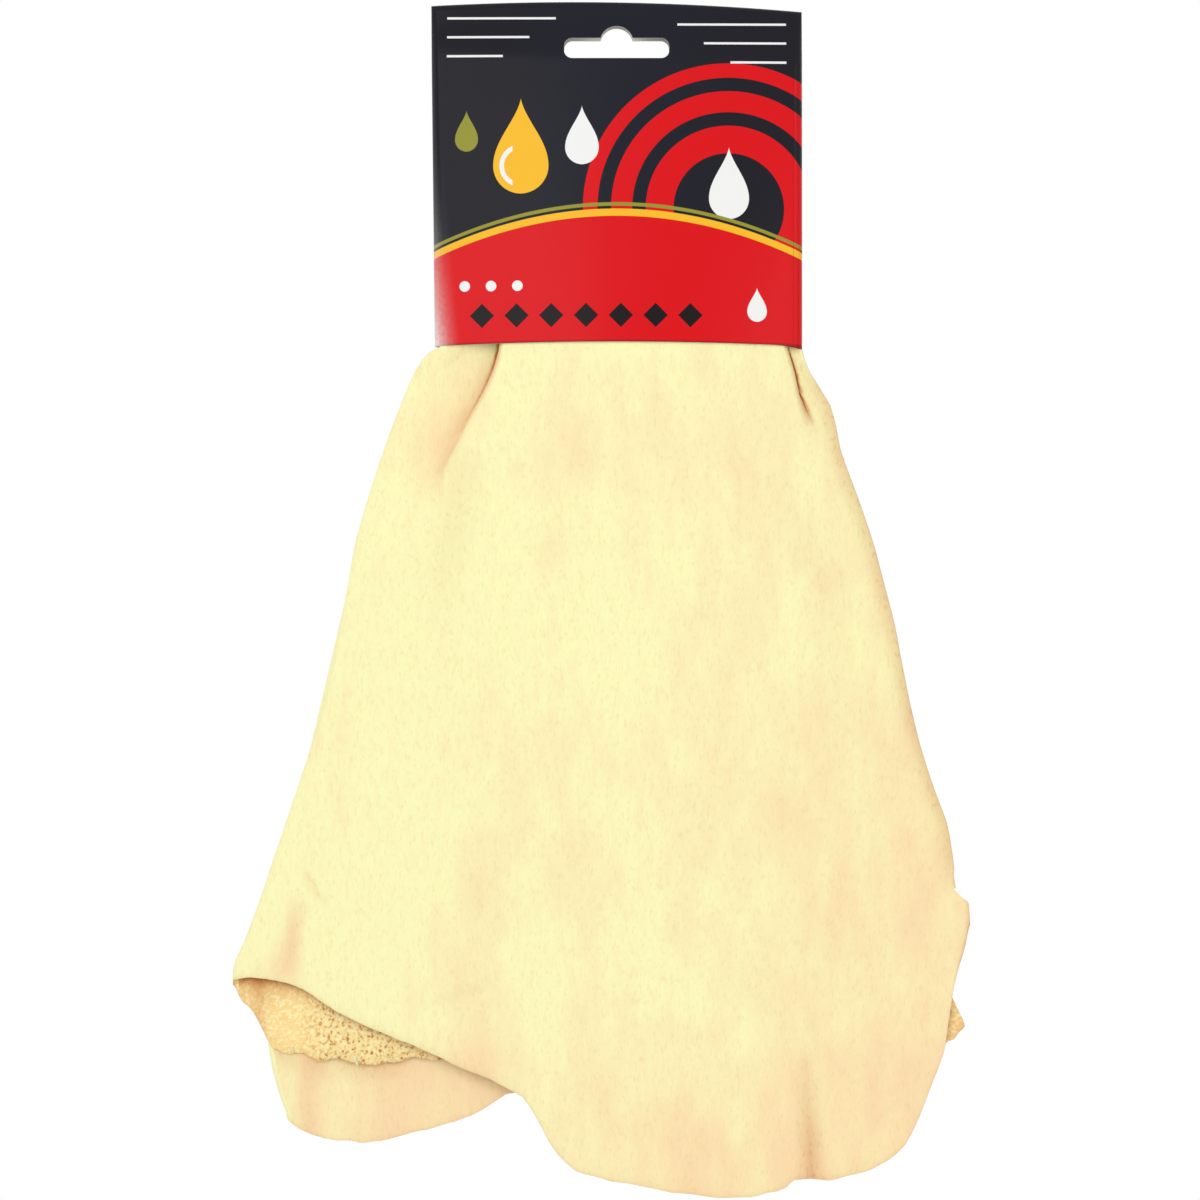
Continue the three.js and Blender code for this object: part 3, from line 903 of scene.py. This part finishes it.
EDGE_BLUR = 0.003
INNER_COUNT = 32
BACK_MARGIN, BACK_CLEARANCE = 0.0015, 0.0006
SWELL_DEPTH, SWELL_SIZE = 0.0007, 0.075
FINE_DEPTH, FINE_SIZE = 0.00022, 0.021
BACK_SWELL_DEPTH, BACK_SWELL_SIZE = 0.0004, 0.03
TUCK_REACH = 0.022
ROOM_REACH = 0.008
FLAP_START, FLAP_LAST = 0.0025, (0.0009, 0.0003)


def leg_sections(front):
    """Level sections through one hanging leg at every height: x and y of each column, in order
    from the edge that is turned under, over the outer layer and the long left fold to the inner
    layer's right edge, its tint of painted shade, and how far down each column reaches."""
    q = DEPTHS
    spacing, turned = layer_spacing(q), turned_spacing(q)
    inward = 1 if front else -1
    left = edge_x(FRONT_LEFT if front else BACK_LEFT, q, -1)
    margin = 0 if front else BACK_MARGIN * ease(q / 0.05)
    right = edge_x(OUTER_RIGHT, q, 1, EDGE_BLUR) - margin
    inner_right = edge_x(INNER_RIGHT, q, 1) - margin
    raw_edge = right - turned / 2 * (1 - ease((q - TURNED_END[front]) / 0.0006))
    first = left + spacing / 2
    outer = pair_line(first, raw_edge, front, True)
    quiet = pair_line(first, right - turned / 2, front, False)
    inner = pair_line(first, inner_right, front, False, INNER_COUNT)
    tuck_x, tuck_y = outer[..., :TUCK_COLUMNS]
    forward = tuck_y - (packet_gap(tuck_x, q, left, right) - closest_gap(q))
    forward = np.maximum(forward.max(axis=1, keepdims=True), 0) * ramp(q, 0.03, 0.05)

    # Each layer stands in its place in depth, with the swells of its drape.
    drape, below = ramp(q, 0.02, 0.2), q * SKIN_DROP
    back_middle = BACK_FACE_Y - BOARD - SEAT - LEATHER / 2 - spacing / 2
    for line in (outer, quiet, inner):
        xs = line[0]
        line[1] += back_middle
        swell = -SWELL_DEPTH * drape * (1 + ripple(xs, below, 11, SWELL_SIZE))
        if front:
            fine = FINE_DEPTH * drape * ripple(xs, below, 23, FINE_SIZE)
            fine = fine - forward * bell(xs - line_x(TUCK_LINE, q), TUCK_REACH)
            line[1] -= packet_gap(xs, q, left, right)
            line[1] += swell
            line[1] += fine
        else:
            line[1] += swell
            line[1] -= BACK_SWELL_DEPTH * drape * (1 + ripple(xs, below, 5, BACK_SWELL_SIZE))

    middle_x = outer[0, :, :1]
    outer = beside(outer, -inward * spacing / 2)
    quiet = beside(quiet, -inward * spacing / 2)
    room = ease((inner[0] - right + TURNED_EDGE + ROOM_REACH) / ROOM_REACH)
    room = np.maximum(2 * turned - spacing, 0) * room
    inner = beside(inner, inward * (spacing / 2 + room))
    if not front:
        inner[1] -= BACK_CLEARANCE * ease(q / 0.3)

    turns = math.pi * (np.arange(TURN_COLUMNS) + 1)[None, :] / (TURN_COLUMNS + 1)
    bow, passed = np.sin(turns), (1 - np.cos(turns)) / 2
    left_turn = np.stack([
        middle_x - spacing / 2 * bow, mix(outer[1, :, :1], inner[1, :, :1], passed),
    ])
    right_turn = np.stack([
        outer[0, :, -1:] + turned / 2 * bow,
        mix(outer[1, :, -1:], quiet[1, :, -1:] + inward * turned, passed),
    ])
    flap_width = np.linspace(TURNED_EDGE, FLAP_START, FLAP_COLUMNS)
    flap_width = np.concatenate([flap_width, FLAP_LAST])
    flap_x = right - turned / 2 - flap_width[None, :]
    quiet_rows = quiet[..., TUCK_COLUMNS:].transpose(1, 0, 2)
    flap_y = np.stack([np.interp(x, *row) for x, row in zip(flap_x, quiet_rows)])
    flap = np.stack([flap_x, flap_y + inward * turned])

    parts = [flap, right_turn[..., ::-1], outer[..., ::-1], left_turn, inner]
    counts = [part.shape[2] for part in parts]
    xs, ys = np.concatenate(parts, axis=2)
    tint = 0 * xs
    if front:
        depth, tint = crease_field(xs, q)
        ys = ys + depth
    fold_x, fold_width, fold_shade = INNER_FOLD[front]
    fold = fold_shade * bell(inner[0] - fold_x, fold_width) * ramp(q, 0.72, 0.02)
    tint[:, -counts[4]:] += fold
    if front:
        paint_bend_shade(tint, xs, counts)
    ends = column_ends(front, xs, left, right, inner_right, counts, flap_width)
    return xs, ys, tint, ends, counts


LEATHER_SHARP_ANGLE = math.radians(55)
EDGE_STEPS = (0, 0.0003, 0.0009, 0.002)
EDGE_THICKNESS = (0.5, 0.82, 0.96)
MOUTH_ROWS = np.concatenate([np.linspace(0.016, -0.012, 13), np.linspace(-0.03, DEPTHS[0, 0], 15)])


def leg_rows(front, low_count, high_count):
    """Points of a leg from its hem up to the fold across, column by column. The turned edge ends
    at a level row, below which its columns have no faces."""
    xs, ys, tint, ends, counts = leg_sections(front)
    q = DEPTHS[:, 0]
    steps = np.array(EDGE_STEPS)[:, None] / SKIN_DROP
    folded = (np.arange(len(ends)) < sum(counts[:2]))[None, :]
    level = np.where(folded, ends, TURNED_END[front])
    low_shares = np.linspace(0, 1, low_count)[1:, None]
    high_shares = np.linspace(0, 1, high_count)[1:, None]
    rows_q = np.concatenate([
        np.where(folded, ends, ends - steps),
        np.where(folded, ends, mix(ends - steps[-1], level, low_shares)),
        mix(level, MOUTH_ROWS[0], high_shares),
        np.repeat(MOUTH_ROWS[1:, None], len(ends), axis=1),
    ])
    found = [
        np.stack([np.interp(rows_q[:, i], q, table[:, i]) for i in range(len(ends))], axis=1)
        for table in (xs, ys, tint)
    ]
    return (*found, rows_q, counts)


FRONT_LOW, BACK_LOW = 28, 14
FRONT_HIGH, BACK_HIGH = 49, 26
front_x, front_y, front_tint, front_q, COLUMN_COUNTS = leg_rows(True, FRONT_LOW, FRONT_HIGH)
back_x, back_y, back_tint, back_q, _ = leg_rows(False, BACK_LOW, BACK_HIGH)
over = np.linspace(0, math.pi, 11)[1:-1, None]
top_middle = (front_y[-1:] + back_y[-1:]) / 2
top_radius = (back_y[-1:] - front_y[-1:]) / 2
top_y = top_middle - top_radius * np.cos(over)
top_z = FOLD_BASE_Z + top_radius * np.sin(over)
top_x = front_x[-1:] + 0 * over
grid_x = np.concatenate([front_x, top_x, back_x[::-1]])
grid_y = np.concatenate([front_y, top_y, back_y[::-1]])
grid_tint = np.concatenate([front_tint, 0 * top_x, back_tint[::-1]])
grid_q = np.concatenate([front_q, (HANG_Z - top_z) / SKIN_DROP, back_q[::-1]])
grid = np.stack([grid_x, grid_y, HANG_Z - grid_q * SKIN_DROP], axis=2)

# Below the ends of the turned edge the grid starts at the outer layer's raw edge.
raw_column = sum(COLUMN_COUNTS[:2])
front_ends = len(EDGE_STEPS) + FRONT_LOW - 2
back_ends = len(EDGE_STEPS) + BACK_LOW - 2
row_count, column_count = grid.shape[:2]
raw_parts = (slice(0, front_ends), slice(row_count - back_ends, row_count))
down, along = np.gradient(grid, axis=0), np.gradient(grid, axis=1)
for rows in raw_parts:
    along[rows, raw_column:] = np.gradient(grid[rows, raw_column:], axis=1)
flesh_way = np.cross(along, down)
flesh_way /= np.maximum(np.linalg.norm(flesh_way, axis=2, keepdims=True), 1e-12)
half = np.full(grid.shape[:2], LEATHER / 2)
for i, share in enumerate(EDGE_THICKNESS):
    half[i, :] *= share
    half[-1 - i, :] *= share
for i, share in enumerate(EDGE_THICKNESS[:2]):
    half[:, i] *= share
    half[:, -1 - i] *= share
    for rows in raw_parts:
        half[rows, raw_column + i] *= share
smooth_points = grid - flesh_way * half[..., None]
flesh_points = grid + flesh_way * half[..., None]


def patch(*corners):
    return np.stack([corner.ravel() for corner in corners], axis=1)


def free_edges(faces):
    """Start and end of each edge that only one face has, in that face's own direction."""
    starts, stops = faces.ravel(), np.roll(faces, -1, axis=1).ravel()
    free = ~np.isin(starts * grid.size + stops, stops * grid.size + starts)
    return starts[free], stops[free]


index = np.arange(row_count * column_count).reshape(row_count, column_count)
rows, columns = np.indices((row_count - 1, column_count - 1))
present = (columns >= raw_column) | (rows >= front_ends) & (rows < row_count - 1 - back_ends)
smooth_faces = patch(index[:-1, :-1], index[1:, :-1], index[1:, 1:], index[:-1, 1:])
smooth_faces = smooth_faces[present.ravel()]
flesh_faces = smooth_faces[:, ::-1] + index.size
starts, stops = free_edges(smooth_faces)
rim_faces = patch(stops, starts, starts + index.size, stops + index.size)
skin_faces = np.concatenate([smooth_faces, flesh_faces, rim_faces])
used, new_index = np.unique(skin_faces, return_inverse=True)
skin_points = np.concatenate([smooth_points.reshape(-1, 3), flesh_points.reshape(-1, 3)])
skin_slots = np.repeat([0, 1, 2], [len(smooth_faces), len(flesh_faces), len(rim_faces)])
skin_mesh = new_mesh(
    "hanging_skin", skin_points[used].tolist(), new_index.reshape(-1, 4).tolist(),
    skin_slots.astype(np.int32),
)
skin_mesh.polygons.foreach_set("use_smooth", np.ones(len(skin_mesh.polygons), dtype=bool))
skin_mesh.set_sharp_from_angle(angle=LEATHER_SHARP_ANGLE)

# The painted shade of each point: the creases, the folded edges and the hems are darkened a
# little, as shade falls there. Its warmth: the tan is uneven over the skin, cream at the left and
# peach at the lower right, as its thickness was.
front_rows = np.arange(row_count)[:, None] < len(front_x)
column = np.arange(column_count)[None, :]
hem_distance = np.where(front_rows, grid_q[:1] - grid_q, grid_q[-1:] - grid_q) * SKIN_DROP
hem_shade = 0.2 * decay(hem_distance, 0.0012)
hem_shade += 0.4 * ramp(grid_x, 0.1015, 0.003) * decay(hem_distance, 0.0032) * front_rows
on_outer = column < sum(COLUMN_COUNTS[:3])
# Painted shade along the rounded right fold of the outer layer, and along its raw edge below it.
fold_edge_shade = bell(np.maximum(line_x(OUTER_RIGHT, grid_q) - grid_x, 0), 0.0032)
fold_edge_shade *= on_outer * fall(grid_q, 0.6, 0.05) * ease(grid_q / 0.06)
raw_edge_shade = decay(line_x(OUTER_RIGHT, grid_q, 0.003) - grid_x, 0.0006)
raw_edge_shade *= front_rows & on_outer & (grid_q > TURNED_END[True] + 0.014)


def below_hem(row, columns):
    """How far each point hangs below a hem in front of it."""
    hem = grid[row, columns]
    order = np.argsort(hem[:, 0])
    return np.maximum(np.interp(grid_x, hem[order, 0], hem[order, 2]) - grid[..., 2], 0)


# Warm patches: their x, depth below the peg, half sizes and how much warmer they are. The last
# two, at the lower left, are painted shade of a soft fold there; the others are the uneven tan.
WARM_PATCHES = (
    (-0.0445, 0.313, 0.014, 0.008, 0.55), (0.008, 0.133, 0.03, 0.022, 0.18),
    (0.03, 0.34, 0.04, 0.02, 0.2), (0.08, 0.33, 0.03, 0.02, 0.25),
    (-0.0978, 0.276, 0.0032, 0.010, 0.95), (-0.1005, 0.286, 0.0058, 0.006, 0.85),
)

# Painted shadow: the layers are browner just under the hems that hang over them.
outer_part = slice(raw_column, sum(COLUMN_COUNTS[:3]))
inner_part = slice(sum(COLUMN_COUNTS[:4]), None)
under_outer, under_inner = below_hem(0, outer_part), below_hem(0, inner_part)
on_left = fall(grid_x, -0.108, 0.022)
on_inner = column >= inner_part.start
front_hem_shadow = mix(0.35, 1.0, on_left) * decay(under_outer, mix(0.0008, 0.0032, on_left))
back_hem_shadow = mix(0.32, 0, ramp(grid_x, -0.07, 0.012))
back_hem_shadow = back_hem_shadow * decay(np.minimum(under_outer, under_inner), 0.0022)
under_hem_shadow = np.where(front_rows & on_inner, front_hem_shadow, 0.0)
under_hem_shadow = np.where(~front_rows & on_inner & (grid_x < 0), back_hem_shadow, under_hem_shadow)
painted_shade = np.clip(0.34 * fold_edge_shade + grid_tint + hem_shade + 0.45 * raw_edge_shade + under_hem_shadow, 0, 2)
drop_down = HANG_Z - grid[..., 2] + 0.098
warmth = 0.07 + 14 * grid_x * drop_down + 4.5 * np.maximum(drop_down - 0.27, 0)
for place_x, place_drop, size_x, size_drop, more in WARM_PATCHES:
    apart = bell(grid_x - place_x, size_x) * bell(drop_down - place_drop, size_drop)
    warmth = warmth + more * apart
# Painted shade beside the tuck: the leather just left of its lip gets the warm colour of shade.
past = line_x(TUCK_LINE, grid_q) - grid_x
tuck_shade = ramp(grid_q, -0.01, 0.03) * fall(grid_q, 0.09, 0.12)
tuck_shade *= ramp(past, -0.0006, 0.0006) * front_rows
tuck_shade *= decay(past, mix(0.0035, 0.007, ease(grid_q / 0.12)))
warmth = warmth + 1.1 * tuck_shade
front_inner = 0.3 + 0.9 * ramp(grid_x, 0.07, 0.02)
# The back leg's inner layer gets a narrow band of painted shade for a soft valley at its left.
back_inner = 0.3 + 0.2 * ramp(grid_x, -0.092, 0.01) + 0.6 * bell(grid_x + 0.0935, 0.0035)
back_inner += 0.65 * bell(grid_x + 0.068, 0.013) + 0.35 * ramp(grid_x, -0.06, 0.02)
warmth = np.where(on_inner, np.where(front_rows, front_inner, back_inner), warmth)
for name, values in (("painted_shade", painted_shade), ("warmth", warmth)):
    attribute = skin_mesh.attributes.new(name, "FLOAT", "POINT")
    attribute.data.foreach_set("value", np.tile(values.ravel(), 2)[used].astype(np.float32))


def point_value(tree, name):
    return Field(add_node(tree, "ShaderNodeAttribute", {}, attribute_name=name)["Fac"])


def leather(name, pale, warm, pore_depth, streak, nap, pitted=False):
    """Oil tanned leather: a cloudy cream that runs lengthwise, pores, painted shade in its creases
    and, on the flesh side, a coarse pitted nap with painted highlights on its nubs and painted
    shade in its pits."""
    material, shader = new_material(name, {
        "Roughness": 0.86, "Specular IOR Level": 0.18, "Sheen Weight": nap, "Sheen Roughness": 0.5,
    })
    tree = shader.id_data
    place, x, _ = object_place(tree)
    stretch = {"Vector": place, "Scale": (1.0, 1.0, 0.38)}
    lengthwise = add_node(tree, "ShaderNodeMapping", stretch)[0]
    clouds = noise(lengthwise, 105.0, 4.0, 0.6)
    uneven = noise(lengthwise, 34.0, 2.0) * 1.5 + (clouds * 1.4 - 1.37)
    colour = (uneven + point_value(tree, "warmth")).clamped().blend(pale, warm)
    strokes = (noise(lengthwise, 520.0, 3.0, 0.6) * 3.4 - 1.5).clamped()
    colour = (strokes * streak).blend(colour, warm)
    specks = (noise(lengthwise, 1250.0, 2.0, 0.55) * 6.5 - 3.5).clamped()
    colour = (specks * 0.17).blend(colour, PORE_OCHRE)
    pores = add_node(tree, "ShaderNodeTexVoronoi", {"Vector": lengthwise, "Scale": 900.0})
    grain = (Field(pores["Distance"]) * 1.8).clamped() * 0.6 + strokes
    if pitted:
        # The nap is coarse where the lower left shows it, and finer toward both sides.
        coarse = (x * 110.0 + 10.6).clamped() * (x * -20.0 + 1.8).clamped()
        nubs = noise(place, 1050.0, 1.5)
        # A painted highlight on the nubs and painted shade in the pits, along with the bump of the
        # nap.
        colour = ((nubs * 7.0 - 3.4).clamped() * 0.85).blend(colour, NUB_HIGHLIGHT)
        pit_shade = (nubs * -8.5 + 3.75).clamped() * (coarse * 0.78 + 0.04)
        colour = pit_shade.blend(colour, PIT_SHADE_BROWN)
        grain = grain + nubs * (coarse * 5.0)
    # Painted shade from the point attribute: crease brown, and a darker brown in the deepest
    # crevices.
    painted_shade = point_value(tree, "painted_shade") * (specks * 0.35 + 0.92)
    colour = painted_shade.lower(1.0).blend(colour, CREASE_SHADE_BROWN)
    colour = (painted_shade - 1.0).clamped().blend(colour, CREVICE_SHADE_BROWN)
    paint(shader, colour, (clouds, 0.5, 0.0008), (grain, pore_depth, 0.0002))
    return material


SMOOTH_CREAM = linear(249, 246, 187)
SMOOTH_WARM = linear(248, 218, 170)
FLESH_CREAM = linear(252, 226, 154)
FLESH_WARM = linear(250, 210, 140)
NUB_HIGHLIGHT = linear(255, 242, 184)
PIT_SHADE_BROWN = linear(176, 108, 50)
PORE_OCHRE = linear(218, 182, 104)
# The browns of the painted shade in the creases and in the deepest crevices.
CREASE_SHADE_BROWN = linear(200, 126, 64)
CREVICE_SHADE_BROWN = linear(50, 36, 14)
CUT_TAN = linear(222, 178, 118)
FIBRE_CREAM = linear(255, 248, 200)
FIBRE_WARM = linear(255, 242, 188)

skin = plain_object("hanging_skin", skin_mesh, [
    leather("chamois_smooth_side", SMOOTH_CREAM, SMOOTH_WARM, 0.35, 0.25, 0.15),
    leather("chamois_flesh_side", FLESH_CREAM, FLESH_WARM, 0.8, 0.6, 0.35, True),
    leather("chamois_cut_edge", CUT_TAN, FLESH_WARM, 0.5, 0.5, 0.2),
])
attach(skin, "skin")
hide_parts("chamois_skin")


# Nap. The knife leaves the hems a little hairy, most of all on the flesh side that shows at the
# lower left: loose collagen fibres, paler than the leather that they grow from.
NAP_HEMS = (
    # low and high x of the stretch of hem, fibres, their length, radius and spread
    (-0.106, -0.05, 220, 0.0008, 0.00006, 1.0),
    (-0.0988, -0.0978, 10, 0.0018, 0.00016, 0.5),
    (-0.0797, -0.0791, 16, 0.0030, 0.00024, 0.3),
    (-0.0686, -0.0678, 8, 0.0015, 0.00016, 0.6),
)
NAP_ROW = 3
NAP_FIRST_SEED = 3
GUIDE_POINTS = 24
NAP_INPUTS = {
    "Fibre count": "Int", "Fibre length": "Float", "Fibre radius": "Float",
    "Fibre spread": "Float", "Seed": "Int",
}
THREAD = {
    "Resolution": 4, "Start": (0, 0, 0), "Start Handle": (0, 0, -0.4),
    "End Handle": (0.12, 0, -0.7), "End": (0.4, 0, -0.95),
}


def nap_tree(material):
    """Fibres that stand on a guide line, each a bent three-sided thread."""
    tree = bpy.data.node_groups.new("nap", "GeometryNodeTree")
    for name, kind in (("Geometry", "Geometry"), *NAP_INPUTS.items()):
        tree.interface.new_socket(name, in_out="INPUT", socket_type="NodeSocket" + kind)
    tree.interface.new_socket("Geometry", in_out="OUTPUT", socket_type="NodeSocketGeometry")

    def node(kind, inputs, **settings):
        return add_node(tree, kind, inputs, **settings)

    given = node("NodeGroupInput", {})
    guide = node("GeometryNodeMeshToCurve", {0: given["Geometry"]})
    count = {"Curve": guide[0], "Count": given["Fibre count"]}
    spots = node("GeometryNodeResampleCurve", count)
    thread = node("GeometryNodeCurvePrimitiveBezierSegment", THREAD)
    longer = {"Geometry": thread[0], "Scale": given["Fibre length"]}
    longer = node("GeometryNodeTransform", longer)
    outline = {"Resolution": 3, "Radius": given["Fibre radius"]}
    outline = node("GeometryNodeCurvePrimitiveCircle", outline)
    body = {"Curve": longer[0], "Profile Curve": outline[0]}
    body = node("GeometryNodeCurveToMesh", body)
    turn = {"Min": (-1.1, -1.0, -1.5), "Max": (-0.1, 1.0, 1.5), "Seed": given["Seed"]}
    turn = node("FunctionNodeRandomValue", turn, data_type="FLOAT_VECTOR")
    spread = {0: turn[0], "Scale": given["Fibre spread"]}
    spread = node("ShaderNodeVectorMath", spread, operation="SCALE")
    size = {2: 0.3, 3: 1.0, "Seed": given["Seed"]}
    size = node("FunctionNodeRandomValue", size, data_type="FLOAT")
    planted = node("GeometryNodeInstanceOnPoints", {
        "Points": spots[0], "Instance": body[0], "Rotation": spread[0], "Scale": size[1],
    })
    real = node("GeometryNodeRealizeInstances", {0: planted[0]})
    dressed = node("GeometryNodeSetMaterial", {0: real[0], "Material": material})
    node("NodeGroupOutput", {0: dressed[0]})
    return tree


fibre_material = leather("chamois_fibre", FIBRE_CREAM, FIBRE_WARM, 0.05, 0.2, 0.0)
nap = nap_tree(fibre_material)
hem_line = flesh_points[NAP_ROW, sum(COLUMN_COUNTS[:4]):]
joined = bmesh.new()
for seed, (low_x, high_x, *values) in enumerate(NAP_HEMS, NAP_FIRST_SEED):
    guide_x = np.linspace(low_x, high_x, GUIDE_POINTS)
    points = [np.interp(guide_x, hem_line[:, 0], hem_line[:, axis]) for axis in range(3)]
    guide_mesh = bpy.data.meshes.new("hem_guide")
    steps = [(i, i + 1) for i in range(GUIDE_POINTS - 1)]
    guide_mesh.from_pydata(np.stack(points, axis=1).tolist(), steps, [])
    guide = plain_object("hem_guide", guide_mesh, [])
    step = guide.modifiers.new("nap", "NODES")
    step.node_group = nap
    values = dict(zip(NAP_INPUTS, (*values, seed)))
    for item in nap.interface.items_tree:
        if item.in_out == "INPUT" and item.name in values:
            step[item.identifier] = values[item.name]
    joined.from_mesh(applied_mesh(guide))
    bpy.data.objects.remove(guide)
fibre_mesh = bpy.data.meshes.new("hem_fibres")
joined.to_mesh(fibre_mesh)
joined.free()
fibre_mesh.polygons.foreach_set("material_index", [0] * len(fibre_mesh.polygons))
fibres = plain_object("hem_fibres", fibre_mesh, [fibre_material])
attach(fibres, "skin")

# Stage: a pale floor well below the hanging object, a white surround for the camera, and four
# soft lamps with a fill from the world.
FLOOR_Z = -0.52
FLOOR_HALF = 0.45
FLOOR_GREY = (0.86, 0.86, 0.86, 1)
SURROUND = 0.58
WHITE_SURROUND = 0.42

floor_corners = [(-1, -1), (1, -1), (1, 1), (-1, 1)]
floor_points = [(x * FLOOR_HALF, y * FLOOR_HALF, FLOOR_Z) for x, y in floor_corners]
floor_mesh = new_mesh("floor", floor_points, [(0, 1, 2, 3)], [0])
floor_look = new_material("pale_floor", {"Roughness": 0.8, "Base Color": FLOOR_GREY})
floor = plain_object("floor", floor_mesh, floor_look[:1])


def soft_lamp(name, place, target, width, height, power):
    data = bpy.data.lights.new(name, "AREA")
    data.shape = "RECTANGLE"
    data.size, data.size_y = width, height
    data.energy = power
    lamp = bpy.data.objects.new(name, data)
    lamp.location = place
    direction = Vector(target) - Vector(place)
    lamp.rotation_euler = direction.to_track_quat("-Z", "Y").to_euler()
    scene.collection.objects.link(lamp)


MIDDLE = (0, 0, -0.17)
LEFT_EDGE = (-0.055, 0, -0.09)
soft_lamp("key_lamp", (-0.55, -1.25, 0.35), MIDDLE, 1.0, 1.0, 7.95)
soft_lamp("fill_lamp", (0.9, -1.0, 0.0), MIDDLE, 0.8, 0.8, 3.83)
soft_lamp("side_strip", (-1.0, 0.15, -0.09), LEFT_EDGE, 0.3, 0.1, 1.2)
soft_lamp("back_lamp", (0.3, 1.2, 0.5), MIDDLE, 0.8, 0.8, 4.7)

world = bpy.data.worlds.new("surround")
scene.world = world
world.use_nodes = True
tree = world.node_tree
background = tree.nodes["Background"]
rays = add_node(tree, "ShaderNodeLightPath", {})
seen = Field(rays["Is Camera Ray"])
for ray in ("Is Glossy Ray", "Is Transmission Ray"):
    seen = seen.higher(rays[ray])
strength = seen * WHITE_SURROUND + SURROUND
tree.links.new(strength.socket, background.inputs["Strength"])
background.inputs["Color"].default_value = (1, 1, 1, 1)
